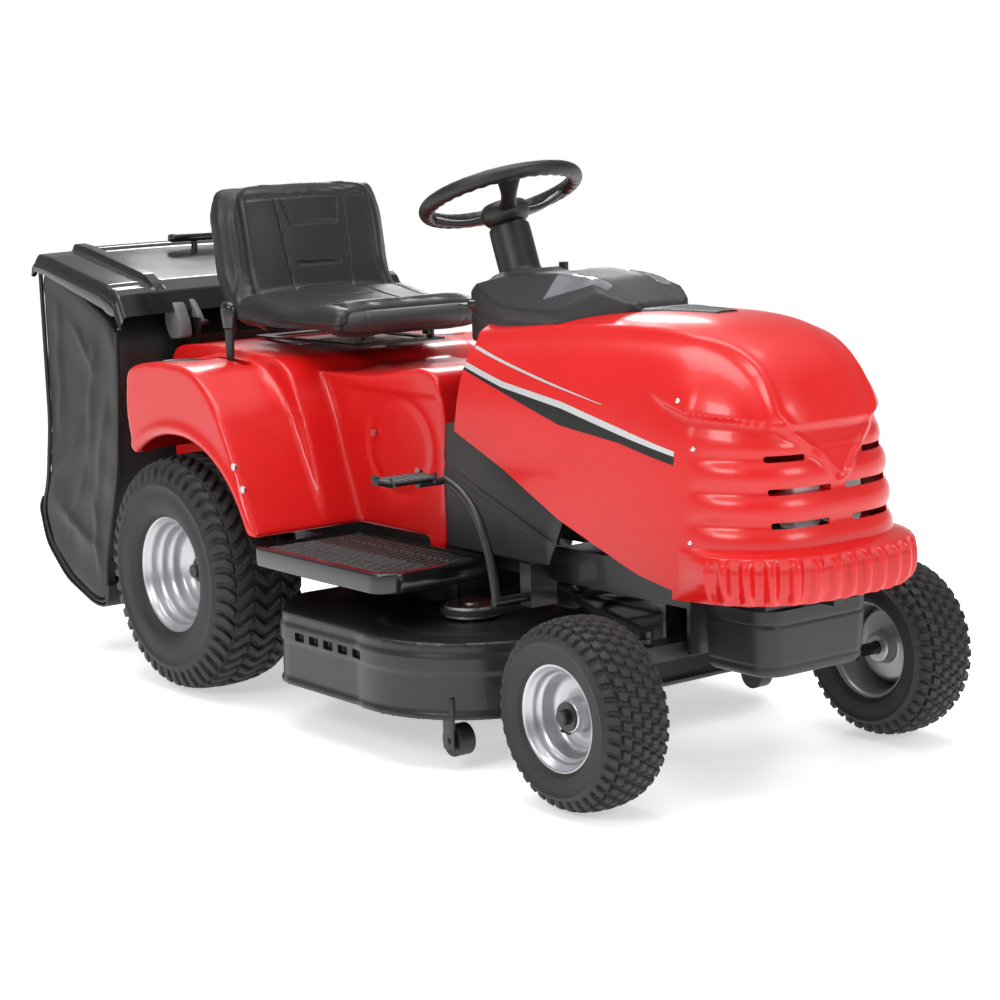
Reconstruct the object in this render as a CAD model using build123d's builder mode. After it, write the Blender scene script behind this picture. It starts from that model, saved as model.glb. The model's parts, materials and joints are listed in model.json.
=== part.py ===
"""Ride-on lawn mower with a rear grass collector.

Frame: +X forward, +Y to the driver's left, +Z up, millimetres.  The origin is on the ground,
in the middle of the whole machine.  Profiles are drawn from the rear axle: x = 0 in a sketch
lies on the rear axle's line, REAR_X in the part's frame.
"""
import os
from math import cos, radians, sin

from build123d import *

# ---------------------------------------------------------------- driving dimensions
REAR_X = -406.5          # the rear axle in the part's frame
WHEELBASE = 1180
REAR_TYRE_R, REAR_TYRE_W, REAR_TRACK = 235, 190, 684
FRONT_TYRE_R, FRONT_TYRE_W, FRONT_TRACK = 160, 134, 708
REAR_RIM_R, FRONT_RIM_R = 112, 86
AXLE_R, SPINDLE_R = 12.7, 11
KINGPIN_Y = 262          # half the distance between the steering pivots
SECTOR_X = 670           # pivot of the steering sector
STEER_ARM = 45           # length of the drop arm and of the knuckle's inner arm
TIE_ARM = 70
COLUMN_TILT = 21         # lean of the steering column towards the driver
WHEEL_X, WHEEL_Z = 545, 965
STEERING_R, STEERING_TUBE = 142, 15
RAIL_Y, RAIL_LOW, RAIL_HIGH = 150, 305, 367
BLADE_X, BLADE_Y, BLADE_R = 700, 212, 202
DECK_LOW, DECK_HIGH = 90, 225
SHEET = 3                # pressed steel
PLASTIC = 4              # moulded covers
FIT = 0.05               # radial play of a pin or a shaft
SIDES = {"right": -1, "left": 1}


# ---------------------------------------------------------------- drawing planes
def side(y=0):
    """Side elevation at y: sketch x is forward from the rear axle, sketch y is height."""
    return Plane(origin=(REAR_X, y, 0), x_dir=(1, 0, 0), z_dir=(0, -1, 0))


def level(z):
    """Plan view at height z: sketch x is forward from the rear axle, sketch y is left."""
    return Plane(origin=(REAR_X, 0, z), x_dir=(1, 0, 0), z_dir=(0, 0, 1))


def station(x):
    """Cross section at x from the rear axle: sketch x is left, sketch y is height."""
    return Plane(origin=(REAR_X + x, 0, 0), x_dir=(0, 1, 0), z_dir=(1, 0, 0))


def column(along):
    """Plane across the steering column, 'along' millimetres from the steering wheel's centre."""
    lean = radians(COLUMN_TILT)
    axis = Vector(-sin(lean), 0, cos(lean))
    centre = Vector(REAR_X + WHEEL_X, 0, WHEEL_Z) + axis * along
    return Plane(origin=centre, x_dir=(cos(lean), 0, sin(lean)), z_dir=axis)


def slab(x_range, y_range, z_range, mode=Mode.ADD):
    """Box between two x (from the rear axle), two y and two z."""
    x0, x1 = x_range
    y0, y1 = y_range
    z0, z1 = z_range
    with Locations((REAR_X + (x0 + x1) / 2, (y0 + y1) / 2, (z0 + z1) / 2)):
        Box(x1 - x0, y1 - y0, z1 - z0, mode=mode)


def pin_y(x, z, radius, y_range, mode=Mode.ADD):
    """Round bar along Y."""
    y0, y1 = y_range
    with Locations((REAR_X + x, (y0 + y1) / 2, z)):
        Cylinder(radius, abs(y1 - y0), rotation=(90, 0, 0), mode=mode)


def post(x, y, radius, z_range, mode=Mode.ADD):
    """Round bar along Z."""
    z0, z1 = z_range
    with Locations((REAR_X + x, y, (z0 + z1) / 2)):
        Cylinder(radius, z1 - z0, mode=mode)


def outline(points, mode=Mode.ADD):
    """Closed straight-sided face in the current sketch."""
    Polygon(*points, align=None, mode=mode)


def mirrored(span, hand):
    """Y range of a piece on the right (hand -1) or the left (hand 1) from its left-hand range."""
    return tuple(sorted((hand * span[0], hand * span[1])))


def save(piece, name):
    """Label a finished piece and write its STEP file."""
    piece.part.label = name
    export_step(piece.part, f"parts/{name}.step")


os.makedirs("parts", exist_ok=True)


# ---------------------------------------------------------------- chassis
def chassis_frame():
    with BuildPart() as frame:
        for hand in SIDES.values():
            slab((-288, 1215), mirrored((RAIL_Y - SHEET, RAIL_Y), hand), (RAIL_LOW, RAIL_HIGH))
            slab((-288, 1215), mirrored((RAIL_Y - 10, RAIL_Y), hand), (RAIL_HIGH - SHEET, RAIL_HIGH))
            slab((835, 865), mirrored((RAIL_Y - SHEET, 205), hand), (264, 340))
            pin_y(850, 282, 8 + FIT, mirrored((155, 206), hand), mode=Mode.SUBTRACT)
        slab((-288, -240), (-RAIL_Y, RAIL_Y), (350, RAIL_HIGH))
        slab((120, 300), (8, RAIL_Y), (RAIL_HIGH - SHEET, RAIL_HIGH))
        slab((590, 640), (-RAIL_Y, RAIL_Y), (350, RAIL_HIGH))
        slab((880, 1150), (-RAIL_Y, RAIL_Y), (RAIL_HIGH - 6, RAIL_HIGH))
        post(1010, 0, 20, (355, 370), mode=Mode.SUBTRACT)
        for x0 in (1146, 1206):
            slab((x0, x0 + 8), (-RAIL_Y, RAIL_Y), (228, RAIL_HIGH))
        slab((1146, 1358), (-118, 118), (318, 334))
        slab((1340, 1406), (-12, 12), (318, 358))
        pin_y(1395, 345, 6 + FIT, (-13, 13), mode=Mode.SUBTRACT)
        with Locations((REAR_X + 1180, 0, 245)):
            Cylinder(10, 80, rotation=(0, 90, 0))
        slab((-16, 16), (-RAIL_Y, -RAIL_Y + SHEET), (340, 545))
        pin_y(0, 520, 8 + FIT, (-152, -144), mode=Mode.SUBTRACT)
        slab((650, 690), (-RAIL_Y, RAIL_Y), (344, 349))
        post(SECTOR_X, 0, 10, (286, 346))
    save(frame, "chassis_frame")


def rear_plate():
    with BuildPart() as plate:
        slab((-292, -288), (-190, 190), (200, 672))
        slab((-293, -287), (-142, 2), (378, 562), mode=Mode.SUBTRACT)
        for hand in SIDES.values():
            with BuildSketch(side(hand * 188)):
                outline([(-292, 600), (-292, 672), (-262, 712), (-232, 712), (-232, 690), (-270, 600)])
            extrude(amount=hand * -5, both=False)
            pin_y(-245, 700, 6, mirrored((166, 190), hand))
    save(plate, "rear_plate")


def front_cover():
    with BuildPart() as cover:
        with BuildSketch(level(205)):
            outline([(1225, -125), (1340, -125), (1365, -100), (1365, 100), (1340, 125), (1225, 125)])
        extrude(amount=110)
        with BuildSketch(level(200)):
            outline([(1220, -121), (1338, -121), (1361, -98), (1361, 98), (1338, 121), (1220, 121)])
        extrude(amount=120, mode=Mode.SUBTRACT)
        slab((1225, 1361), (-121, 121), (205, 209))
    save(cover, "front_cover")


def engine():
    with BuildPart() as block:
        post(1010, 0, 112, (RAIL_HIGH, 500))
        slab((1100, 1250), (-55, 55), (410, 490))
        for step in range(6):
            slab((1130 + 20 * step, 1136 + 20 * step), (-70, 70), (400, 500))
        slab((1248, 1262), (-60, 60), (404, 496))
        post(1010, 0, 12, (300, RAIL_HIGH))
    save(block, "engine_block")

    with BuildPart() as shroud:
        post(1010, 0, 150, (502, 610))
        chamfer(shroud.edges().filter_by(GeomType.CIRCLE).sort_by(Axis.Z)[-1], 30)
        post(1010, 0, 144, (498, 580), mode=Mode.SUBTRACT)
        with Locations((REAR_X + 1010, 0, 610)):
            with PolarLocations(70, 16):
                Box(50, 5, 24, mode=Mode.SUBTRACT)
    save(shroud, "engine_shroud")

    with BuildPart() as muffler:
        pin_y(1310, 440, 40, (-95, 95))
        slab((1264, 1300), (-14, 14), (430, 452))
        with Locations((REAR_X + 1310, -80, 392)):
            Cylinder(13, 40)
    save(muffler, "muffler")

    with BuildPart() as crank_pulley:
        post(1010, 0, 60, (316, 336))
        post(1010, 0, 61, (320, 332), mode=Mode.SUBTRACT)
        post(1010, 0, 50, (319, 333))
        post(1010, 0, 12 + FIT, (310, 340), mode=Mode.SUBTRACT)
    save(crank_pulley, "crank_pulley")

    with BuildPart() as tank:
        slab((752, 850), (-150, 150), (500, 640))
        fillet(tank.edges().filter_by(Axis.Z), 20)
        fillet(tank.faces().sort_by(Axis.Z)[-1].edges(), 12)
        post(800, 90, 26, (638, 664))
    save(tank, "fuel_tank")

    with BuildPart() as battery:
        slab((130, 290), (20, 142), (RAIL_HIGH, 520))
        for y in (45, 117):
            post(160, y, 8, (519, 532))
    save(battery, "battery")


def transmission():
    with BuildPart() as transaxle:
        slab((-80, 80), (-110, 110), (185, 285))
        fillet(transaxle.edges().filter_by(Axis.Y), 24)
        pin_y(0, REAR_TYRE_R, 28, (-236, 236))
        pin_y(0, REAR_TYRE_R, AXLE_R + FIT, (-240, -200), mode=Mode.SUBTRACT)
        pin_y(0, REAR_TYRE_R, AXLE_R + FIT, (200, 240), mode=Mode.SUBTRACT)
        post(20, 90, 10, (270, 340))
        for hand in SIDES.values():
            slab((-20, 20), mirrored((140, 150), hand), (255, RAIL_LOW))
    save(transaxle, "transaxle")

    with BuildPart() as pulley:
        post(20, 90, 45, (316, 336))
        post(20, 90, 46, (320, 332), mode=Mode.SUBTRACT)
        post(20, 90, 35, (319, 333))
        post(20, 90, 10 + FIT, (310, 340), mode=Mode.SUBTRACT)
    save(pulley, "transaxle_pulley")

    with BuildPart() as belt:
        with BuildSketch(level(321)) as loop:
            with Locations((1010, 0)):
                Circle(58)
            with Locations((20, 90)):
                Circle(43)
            make_hull()
        extrude(amount=10)
        with BuildSketch(level(320)):
            with Locations((1010, 0)):
                Circle(50.4)
            with Locations((20, 90)):
                Circle(35.4)
            make_hull()
        extrude(amount=12, mode=Mode.SUBTRACT)
    save(belt, "drive_belt")


def discharge_chute():
    profile = [(285, 104), (285, 262), (180, 450), (-287, 556), (-287, 384), (90, 372), (170, 340)]
    with BuildPart() as chute:
        with BuildSketch(side(-70)):
            outline(profile)
        extrude(amount=69, both=True)
        with BuildSketch(side(-70)):
            outline(profile)
            offset(amount=-SHEET)
        extrude(amount=66, both=True, mode=Mode.SUBTRACT)
        slab((281, 286), (-136, -4), (107, 258), mode=Mode.SUBTRACT)
        slab((-288, -283), (-136, -4), (387, 552), mode=Mode.SUBTRACT)
    save(chute, "discharge_chute")


# ---------------------------------------------------------------- body panels
def fender_solid(inset, drop):
    """Outer form of the rear body, shrunk by inset and lengthened downwards by drop."""
    with BuildPart() as form:
        with BuildSketch(side()):
            outline([(-282 + inset, 560 - drop), (-282 + inset, 655 - inset), (-120, 668 - inset),
                     (150 - inset, 650 - inset), (200 - inset, 560), (255 - inset, 420),
                     (285 - inset, 338 - drop), (120, 338 - drop)])
        extrude(amount=236 - inset, both=True)
        with BuildSketch(side()):
            outline([(-175 + inset, 560 - drop), (-140 + inset, 640 - inset), (-60, 652 - inset),
                     (110 - inset, 640 - inset), (170 - inset, 560), (240 - inset, 420),
                     (285 - inset, 338 - drop), (200, 338 - drop)])
        extrude(amount=402 - inset, both=True)
        with BuildSketch(side()):
            outline([(100, 338 - drop), (100, 630 - inset), (330, 626 - inset), (545 - inset, 668 - inset),
                     (568 - inset, 530), (545 - inset, 338 - drop)])
        extrude(amount=160 - inset, both=True)
    return form.part


def fender_body():
    with BuildPart() as body:
        add(fender_solid(0, 0))
        add(fender_solid(PLASTIC, 60), mode=Mode.SUBTRACT)
        for hand in SIDES.values():
            pin_y(0, REAR_TYRE_R, 285, mirrored((237, 410), hand), mode=Mode.SUBTRACT)
            pin_y(0, REAR_TYRE_R, 262, mirrored((200, 410), hand), mode=Mode.SUBTRACT)
            slab((-300, -226), mirrored((178, 194), hand), (590, 700), mode=Mode.SUBTRACT)
        slab((-60, 60), (-272, -252), (600, 680), mode=Mode.SUBTRACT)
        slab((-30, 30), (-240, -220), (500, 545), mode=Mode.SUBTRACT)
    save(body, "fender_body")


def tower_cover():
    """Dark cover round the steering column, below the bonnet's rear edge."""
    with BuildPart() as cover:
        slab((578, 582), (-200, 200), (370, 700))
        for hand in SIDES.values():
            with BuildSketch(side(hand * 200)):
                outline([(578, 342), (578, 700), (640, 700), (660, 590), (900, 500), (955, 436), (905, 342)])
            extrude(amount=hand * PLASTIC)
    save(cover, "side_cover")


def dash_solid(inset):
    with BuildPart() as form:
        with BuildSketch(side()):
            outline([(470 + inset, 706 - inset), (470 + inset, 762 - inset), (545, 800 - inset),
                     (665, 826 - inset), (770, 836 - inset), (880, 828 - inset), (992 - inset, 786 - inset),
                     (992 - inset, 765), (660, 706 - inset)])
        extrude(amount=200, both=True)
        with BuildSketch(level(690)):
            outline([(470 + inset, -60 + inset), (470 + inset, 60 - inset), (540, 150 - inset),
                     (860, 130 - inset), (992 - inset, 60 - inset), (992 - inset, -60 + inset),
                     (860, -130 + inset), (540, -150 + inset)])
        extrude(amount=160, mode=Mode.INTERSECT)
    return form.part


def dash_console():
    with BuildPart() as dash:
        add(dash_solid(0))
        add(dash_solid(PLASTIC), mode=Mode.SUBTRACT)
        slab((480, 985), (-50, 50), (690, 706), mode=Mode.SUBTRACT)
        with BuildSketch(column(-260)):
            Circle(39)
        extrude(amount=260, mode=Mode.SUBTRACT)
        slab((565, 640), (93, 107), (780, 850), mode=Mode.SUBTRACT)
        with Locations((REAR_X + 500, -80, 768)):
            Cylinder(8 + FIT, 80, rotation=(0, 90, 0), mode=Mode.SUBTRACT)
    save(dash, "dash_console")

    with BuildPart() as window:
        slab((790, 900), (-75, 75), (838, 842))
    save(window, "instrument_window")

    with BuildPart() as sleeve:
        with BuildSketch(column(-178)):
            Circle(38)
            Circle(30, mode=Mode.SUBTRACT)
        extrude(amount=118)
    save(sleeve, "column_sleeve")


def footboards():
    for name, hand in SIDES.items():
        with BuildPart() as board:
            slab((290, 715), mirrored((166, 415), hand), (290, 328))
            slab((304, 701), mirrored((180, 401), hand), (322, 330), mode=Mode.SUBTRACT)
            slab((296, 709), mirrored((172, 409), hand), (280, 317), mode=Mode.SUBTRACT)
        save(board, f"footboard_{name}")

    with BuildPart() as mats:
        for hand in SIDES.values():
            slab((308, 697), mirrored((184, 397), hand), (322, 325))
            for row in range(12):
                x0 = 318 + 31.5 * row
                slab((x0, x0 + 10), mirrored((190, 391), hand), (325, 327))
    save(mats, "foot_mats")


# ---------------------------------------------------------------- bonnet
def bonnet_solid(inset, drop):
    """Bonnet's outer form, shrunk by inset, lengthened downwards and backwards by drop."""
    with BuildPart() as form:
        with BuildSketch(side()):
            outline([(652 - drop, 557 - drop), (652 - drop, 748 - inset), (710 - drop, 750 - inset),
                     (1100, 776 - inset), (1250, 768 - inset), (1330, 750 - inset),
                     (1390 - inset / 2, 720 - inset), (1422 - inset, 668), (1440 - inset, 590),
                     (1450 - inset, 450), (1452 - inset, 345 - drop), (1386, 341 - drop),
                     (1291, 342 - drop), (1171, 367 - drop), (967, 433 - drop), (805, 503 - drop)])
        extrude(amount=300, both=True)
        with BuildSketch(level(200)):
            outline([(600, -218 + inset), (1000, -226 + inset), (1290, -216 + inset), (1385, -160 + inset),
                     (1436 - inset, -70 + inset / 2), (1452 - inset, 0), (1436 - inset, 70 - inset / 2),
                     (1385, 160 - inset), (1290, 216 - inset), (1000, 226 - inset), (600, 218 - inset)])
        extrude(amount=600, mode=Mode.INTERSECT)
        with BuildSketch(station(560)):
            outline([(-300, 200), (-300, 600), (-226 + inset, 690 - inset), (-170, 730 - inset),
                     (-90, 800 - inset), (90, 800 - inset), (170, 730 - inset), (226 - inset, 690 - inset),
                     (300, 600), (300, 200)])
        extrude(amount=1000, mode=Mode.INTERSECT)
    return form.part


def lip_outline(inset):
    """Plan outline of the front lip."""
    return [(1300, -236 + inset), (1386, -250 + inset), (1440, -215 + inset), (1474 - inset, -120 + inset / 2),
            (1480 - inset, 0), (1474 - inset, 120 - inset / 2), (1440, 215 - inset), (1386, 250 - inset),
            (1300, 236 - inset)]


def bonnet():
    with BuildPart() as shell:
        add(bonnet_solid(0, 0))
        with BuildSketch(level(340)):
            outline(lip_outline(0))
        extrude(amount=78)
        add(bonnet_solid(PLASTIC, 60), mode=Mode.SUBTRACT)
        with BuildSketch(level(330)):
            outline(lip_outline(PLASTIC))
        extrude(amount=84, mode=Mode.SUBTRACT)
        with BuildSketch(level(700)):
            outline([(600, -156), (540, -156), (862, -136), (1000, -66), (1156, -30), (1156, 30), (1000, 66),
                     (862, 136), (540, 156)])
        extrude(amount=100, mode=Mode.SUBTRACT)
        for height in (452, 508, 565):
            for hand in SIDES.values():
                slab((1340, 1460), mirrored((12, 150), hand), (height - 5, height + 5), mode=Mode.SUBTRACT)
        for hand in SIDES.values():
            slab((1389, 1477), mirrored((18, 24), hand), (341, 357))
        pin_y(1395, 345, 6, (-20, 20))
    save(shell, "bonnet_shell")

    with BuildPart() as insert:
        with BuildSketch(level(700)):
            outline([(1004, -62), (1152, -28), (1152, 28), (1004, 62)])
        extrude(amount=100)
        with BuildSketch(side()):
            outline([(1000, 770), (1000, 784), (1160, 781), (1160, 765)])
        extrude(amount=80, both=True, mode=Mode.INTERSECT)
    save(insert, "bonnet_insert")

    with BuildPart() as lamps:
        for hand in SIDES.values():
            slab((1395, 1428), mirrored((22, 66), hand), (436, 580))
    save(lamps, "headlamps")


# ---------------------------------------------------------------- wheels
def tyre_section(radius, width, rim_radius, wall):
    """Half section of a tyre from bead to bead, shrunk by wall."""
    half = width / 2 - wall
    crown = radius - wall
    bead = rim_radius - wall / 4
    return [(bead, -half * 0.8), (rim_radius + 16, -half), (radius - 30, -half), (crown - 8, -half * 0.84),
            (crown, -half * 0.45), (crown, half * 0.45), (crown - 8, half * 0.84), (radius - 30, half),
            (rim_radius + 16, half), (bead, half * 0.8)]


def tyre(name, x, radius, width, rim_radius, y):
    """Tyre with a rounded section, hollow and open towards the rim."""
    axle = Axis((REAR_X + x, y, radius), (0, 1, 0))
    with BuildPart() as rubber:
        for wall, mode in ((0, Mode.ADD), (12, Mode.SUBTRACT)):
            with BuildSketch(Plane(origin=(REAR_X + x, y, radius), x_dir=(1, 0, 0), z_dir=(0, 0, 1))):
                outline(tyre_section(radius, width, rim_radius, wall))
            revolve(axis=axle, mode=mode)
    save(rubber, name)


def rim(name, x, radius, width, rim_radius, y, hand, bore):
    """Pressed steel wheel: a barrel, a dished disc and a hub.  With no bore it has its own axle shaft."""
    axle = Axis((REAR_X + x, 0, radius), (0, 1, 0))
    half = width / 2 * 0.78
    with BuildPart() as wheel:
        with BuildSketch(Plane(origin=(REAR_X + x, y, radius), x_dir=(1, 0, 0), z_dir=(0, 0, 1))):
            outline([(rim_radius - 0.5, -half), (rim_radius - 0.5, half), (rim_radius - 5, half),
                     (rim_radius - 12, half - 10), (rim_radius - 14, 8), (30, 8), (30, 30), (bore, 30),
                     (bore, -30), (30, -30), (30, 2), (rim_radius - 14, 2), (rim_radius - 12, -half + 10),
                     (rim_radius - 5, -half)])
        revolve(axis=axle)
        if not bore:
            pin_y(x, radius, AXLE_R, tuple(sorted((hand * 204, y + hand * 40))))
    save(wheel, name)


def wheels():
    for name, hand in SIDES.items():
        y = hand * REAR_TRACK / 2
        tyre(f"rear_tyre_{name}", 0, REAR_TYRE_R, REAR_TYRE_W, REAR_RIM_R, y)
        rim(f"rear_rim_{name}", 0, REAR_TYRE_R, REAR_TYRE_W, REAR_RIM_R, y, hand, 0)
        y = hand * FRONT_TRACK / 2
        tyre(f"front_tyre_{name}", WHEELBASE, FRONT_TYRE_R, FRONT_TYRE_W, FRONT_RIM_R, y)
        rim(f"front_rim_{name}", WHEELBASE, FRONT_TYRE_R, FRONT_TYRE_W, FRONT_RIM_R, y, hand, SPINDLE_R + FIT)


# ---------------------------------------------------------------- front axle and steering
def front_axle():
    with BuildPart() as axle:
        slab((1160, 1200), (-240, 240), (222, 250))
        with Locations((REAR_X + 1180, 0, 245)):
            Cylinder(18, 44, rotation=(0, 90, 0))
        for hand in SIDES.values():
            post(1180, hand * KINGPIN_Y, 20, (190, 250))
            slab((1165, 1195), mirrored((225, KINGPIN_Y), hand), (205, 250))
            post(1180, hand * KINGPIN_Y, 9.5 + FIT, (185, 255), mode=Mode.SUBTRACT)
        with Locations((REAR_X + 1180, 0, 245)):
            Cylinder(10 + FIT, 50, rotation=(0, 90, 0), mode=Mode.SUBTRACT)
    save(axle, "front_axle_beam")


def knuckles():
    for name, hand in SIDES.items():
        pin_height = hand * KINGPIN_Y
        with BuildPart() as knuckle:
            post(WHEELBASE, pin_height, 9.5, (FRONT_TYRE_R, 262))
            post(WHEELBASE, pin_height, 16, (148, 189))
            pin_y(WHEELBASE, FRONT_TYRE_R, SPINDLE_R, mirrored((KINGPIN_Y, 402), hand))
            slab((WHEELBASE - TIE_ARM, WHEELBASE), tuple(sorted((pin_height - 8, pin_height + 8))), (166, 174))
            post(WHEELBASE - TIE_ARM, pin_height, 10, (166, 174))
            post(WHEELBASE - TIE_ARM, pin_height, 5, (150, 174))
            if hand < 0:
                slab((WHEELBASE - 9, WHEELBASE + 9), (pin_height, pin_height + STEER_ARM), (254, 262))
                post(WHEELBASE, pin_height + STEER_ARM, 11, (254, 262))
                post(WHEELBASE, pin_height + STEER_ARM, 5, (254, 276))
        save(knuckle, f"knuckle_{name}")


def tie_rod():
    with BuildPart() as rod:
        pin_y(WHEELBASE - TIE_ARM, 158, 6, (-KINGPIN_Y, KINGPIN_Y))
        for hand in SIDES.values():
            post(WHEELBASE - TIE_ARM, hand * KINGPIN_Y, 11, (151, 165))
            hole = 5 + FIT if hand < 0 else 5.4
            post(WHEELBASE - TIE_ARM, hand * KINGPIN_Y, hole, (140, 170), mode=Mode.SUBTRACT)
    save(rod, "tie_rod")


def drag_link():
    """Rod from the sector's drop arm to the right knuckle's inner arm."""
    rear = (SECTOR_X, -STEER_ARM)
    front = (WHEELBASE, -KINGPIN_Y + STEER_ARM)
    with BuildPart() as link:
        with BuildSketch(level(264)):
            with BuildLine():
                Line(rear, front)
            trace(line_width=12)
        extrude(amount=11)
        for x, y in (rear, front):
            post(x, y, 12, (264, 275))
        post(front[0], front[1], 5 + FIT, (260, 280), mode=Mode.SUBTRACT)
    save(link, "drag_link")


def steering():
    with BuildPart() as sector:
        with BuildSketch(level(290)):
            with Locations((SECTOR_X, 0)):
                Circle(110)
            outline([(SECTOR_X, 0), (800, 110), (800, 160), (500, 160), (500, -160), (800, -160), (800, -110)],
                    mode=Mode.SUBTRACT)
            with Locations((SECTOR_X, 0)):
                Circle(22)
            with Locations((SECTOR_X, -STEER_ARM / 2)):
                Rectangle(20, STEER_ARM)
            with Locations((SECTOR_X, -STEER_ARM)):
                Circle(12)
            with Locations((SECTOR_X, 0)):
                Circle(10 + FIT, mode=Mode.SUBTRACT)
                with PolarLocations(110, 19, -36, 72, endpoint=True):
                    Rectangle(10, 3.4, mode=Mode.SUBTRACT)
        extrude(amount=7)
    save(sector, "steering_sector")

    with BuildPart() as shaft:
        with BuildSketch(column(-698)):
            Circle(9)
        extrude(amount=680)
        with BuildSketch(column(-698)):
            Circle(10.5)
            with PolarLocations(10.5, 8):
                Circle(1.6)
        extrude(amount=22)
    save(shaft, "steering_shaft")

    with BuildPart() as wheel:
        with BuildSketch(Plane(origin=column(0).origin, x_dir=column(0).x_dir, z_dir=(0, 1, 0))):
            with Locations((STEERING_R, 0)):
                Circle(STEERING_TUBE)
        revolve(axis=Axis(column(0).origin, column(0).z_dir))
        with BuildSketch(column(-52)):
            Circle(46)
        extrude(amount=34)
        with BuildSketch(column(-40)):
            for angle in (90, 210, 330):
                with PolarLocations(88, 1, angle):
                    Rectangle(104, 34)
        extrude(amount=8)
        with BuildSketch(column(-40)):
            with PolarLocations(STEERING_R - 6, 3, 90):
                Rectangle(10, 34)
        extrude(amount=36)
        with BuildSketch(column(-60)):
            Circle(9 + FIT)
        extrude(amount=42, mode=Mode.SUBTRACT)
    save(wheel, "steering_wheel")


# ---------------------------------------------------------------- cutting deck
def deck_outline(inset):
    """Plan of the cutting deck: two rounded blade housings and a square rear end."""
    with Locations((BLADE_X, BLADE_Y), (BLADE_X, -BLADE_Y)):
        Circle(222 - inset)
    outline([(292 + inset, -330), (400, -428 + inset), (BLADE_X, -428 + inset), (BLADE_X + 218 - inset, -200),
             (BLADE_X + 218 - inset, 200), (BLADE_X, 428 - inset), (400, 428 - inset), (292 + inset, 330)])


def deck():
    with BuildPart() as shell:
        with BuildSketch(level(DECK_LOW)):
            deck_outline(0)
        extrude(amount=DECK_HIGH - DECK_LOW)
        chamfer(shell.faces().sort_by(Axis.Z)[-1].edges(), 22)
        with BuildSketch(level(DECK_LOW - 1)):
            deck_outline(SHEET)
        extrude(amount=DECK_HIGH - DECK_LOW - 24, mode=Mode.SUBTRACT)
        with BuildSketch(level(DECK_LOW)):
            deck_outline(SHEET + 24)
        extrude(amount=DECK_HIGH - DECK_LOW - SHEET, mode=Mode.SUBTRACT)
        slab((280, 330), (-136, -4), (107, 216), mode=Mode.SUBTRACT)
        for hand in SIDES.values():
            post(BLADE_X, hand * BLADE_Y, 30, (200, 228))
            post(BLADE_X, hand * BLADE_Y, 12.5 + FIT, (190, 235), mode=Mode.SUBTRACT)
            slab((828, 858), mirrored((372, 378), hand), (38, 130))
            pin_y(843, 52, 5, mirrored((334, 376), hand))
            for x in (380, 560):
                slab((x, x + 30), mirrored((154, 160), hand), (DECK_HIGH - SHEET, 288))
    save(shell, "deck_shell")

    for name, hand in SIDES.items():
        with BuildPart() as spindle:
            post(BLADE_X, hand * BLADE_Y, 12.5, (92, 252))
            post(BLADE_X, hand * BLADE_Y, 50, (230, 250))
            post(BLADE_X, hand * BLADE_Y, 24, (108, 196))
        save(spindle, f"spindle_{name}")

        with BuildPart() as blade:
            slab((BLADE_X - 26, BLADE_X + 26), mirrored((BLADE_Y - BLADE_R, BLADE_Y + BLADE_R), hand), (99, 104))
            for end in (-1, 1):
                y = hand * BLADE_Y + end * (BLADE_R - 35)
                slab((BLADE_X - end * 26 - 4, BLADE_X - end * 26 + 4), (y - 30, y + 30), (99, 118))
            post(BLADE_X, hand * BLADE_Y, 12.5 + FIT, (95, 107), mode=Mode.SUBTRACT)
        save(blade, f"blade_{name}")

        with BuildPart() as roller:
            pin_y(843, 52, 28, mirrored((339, 369), hand))
            pin_y(843, 52, 5 + FIT, mirrored((330, 371), hand), mode=Mode.SUBTRACT)
        save(roller, f"deck_roller_{name}")

    with BuildPart() as belt:
        with BuildSketch(level(235)):
            with Locations((BLADE_X, BLADE_Y), (BLADE_X, -BLADE_Y)):
                Circle(56)
            make_hull()
        extrude(amount=10)
        with BuildSketch(level(234)):
            with Locations((BLADE_X, BLADE_Y), (BLADE_X, -BLADE_Y)):
                Circle(50.4)
            make_hull()
        extrude(amount=12, mode=Mode.SUBTRACT)
    save(belt, "deck_belt")


# ---------------------------------------------------------------- controls
def controls():
    with BuildPart() as lever:
        pin_y(0, 520, 8, (-268, -143))
        with BuildSketch(side(-266)):
            with Locations((0, 520)):
                Circle(16)
            outline([(-10, 520), (10, 520), (8, 730), (-8, 730)])
        extrude(amount=-8)
        with Locations((REAR_X, -262, 736)):
            Cylinder(15, 44)
        fillet(lever.edges().filter_by(GeomType.CIRCLE).group_by(Axis.Z)[-1], 8)
    save(lever, "height_lever")

    for name, pedal_name in (("right", "drive_pedal"), ("left", "brake_pedal")):
        hand = SIDES[name]
        with BuildPart() as pedal:
            pin_y(850, 282, 8, mirrored((160, 276), hand))
            with BuildSketch(side(hand * 276)):
                outline([(840, 276), (860, 286), (790, 434), (716, 488), (700, 488), (700, 474), (776, 420)])
            extrude(amount=hand * 12)
            slab((690, 728), mirrored((264, 405), hand), (478, 490))
            slab((680, 738), mirrored((306, 405), hand), (484, 496))
        save(pedal, pedal_name)

    with BuildPart() as throttle:
        with BuildSketch(side(97)):
            with Locations((602, 800)):
                Circle(12)
            outline([(597, 800), (607, 800), (605, 828), (599, 828)])
        extrude(amount=-6)
        with Locations((REAR_X + 602, 100, 830)):
            Cylinder(9, 16)
    save(throttle, "throttle_lever")

    with BuildPart() as key:
        with Locations((REAR_X + 490, -80, 768)):
            Cylinder(8, 60, rotation=(0, 90, 0))
        slab((446, 462), (-92, -68), (766, 770))
    save(key, "ignition_key")


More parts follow.
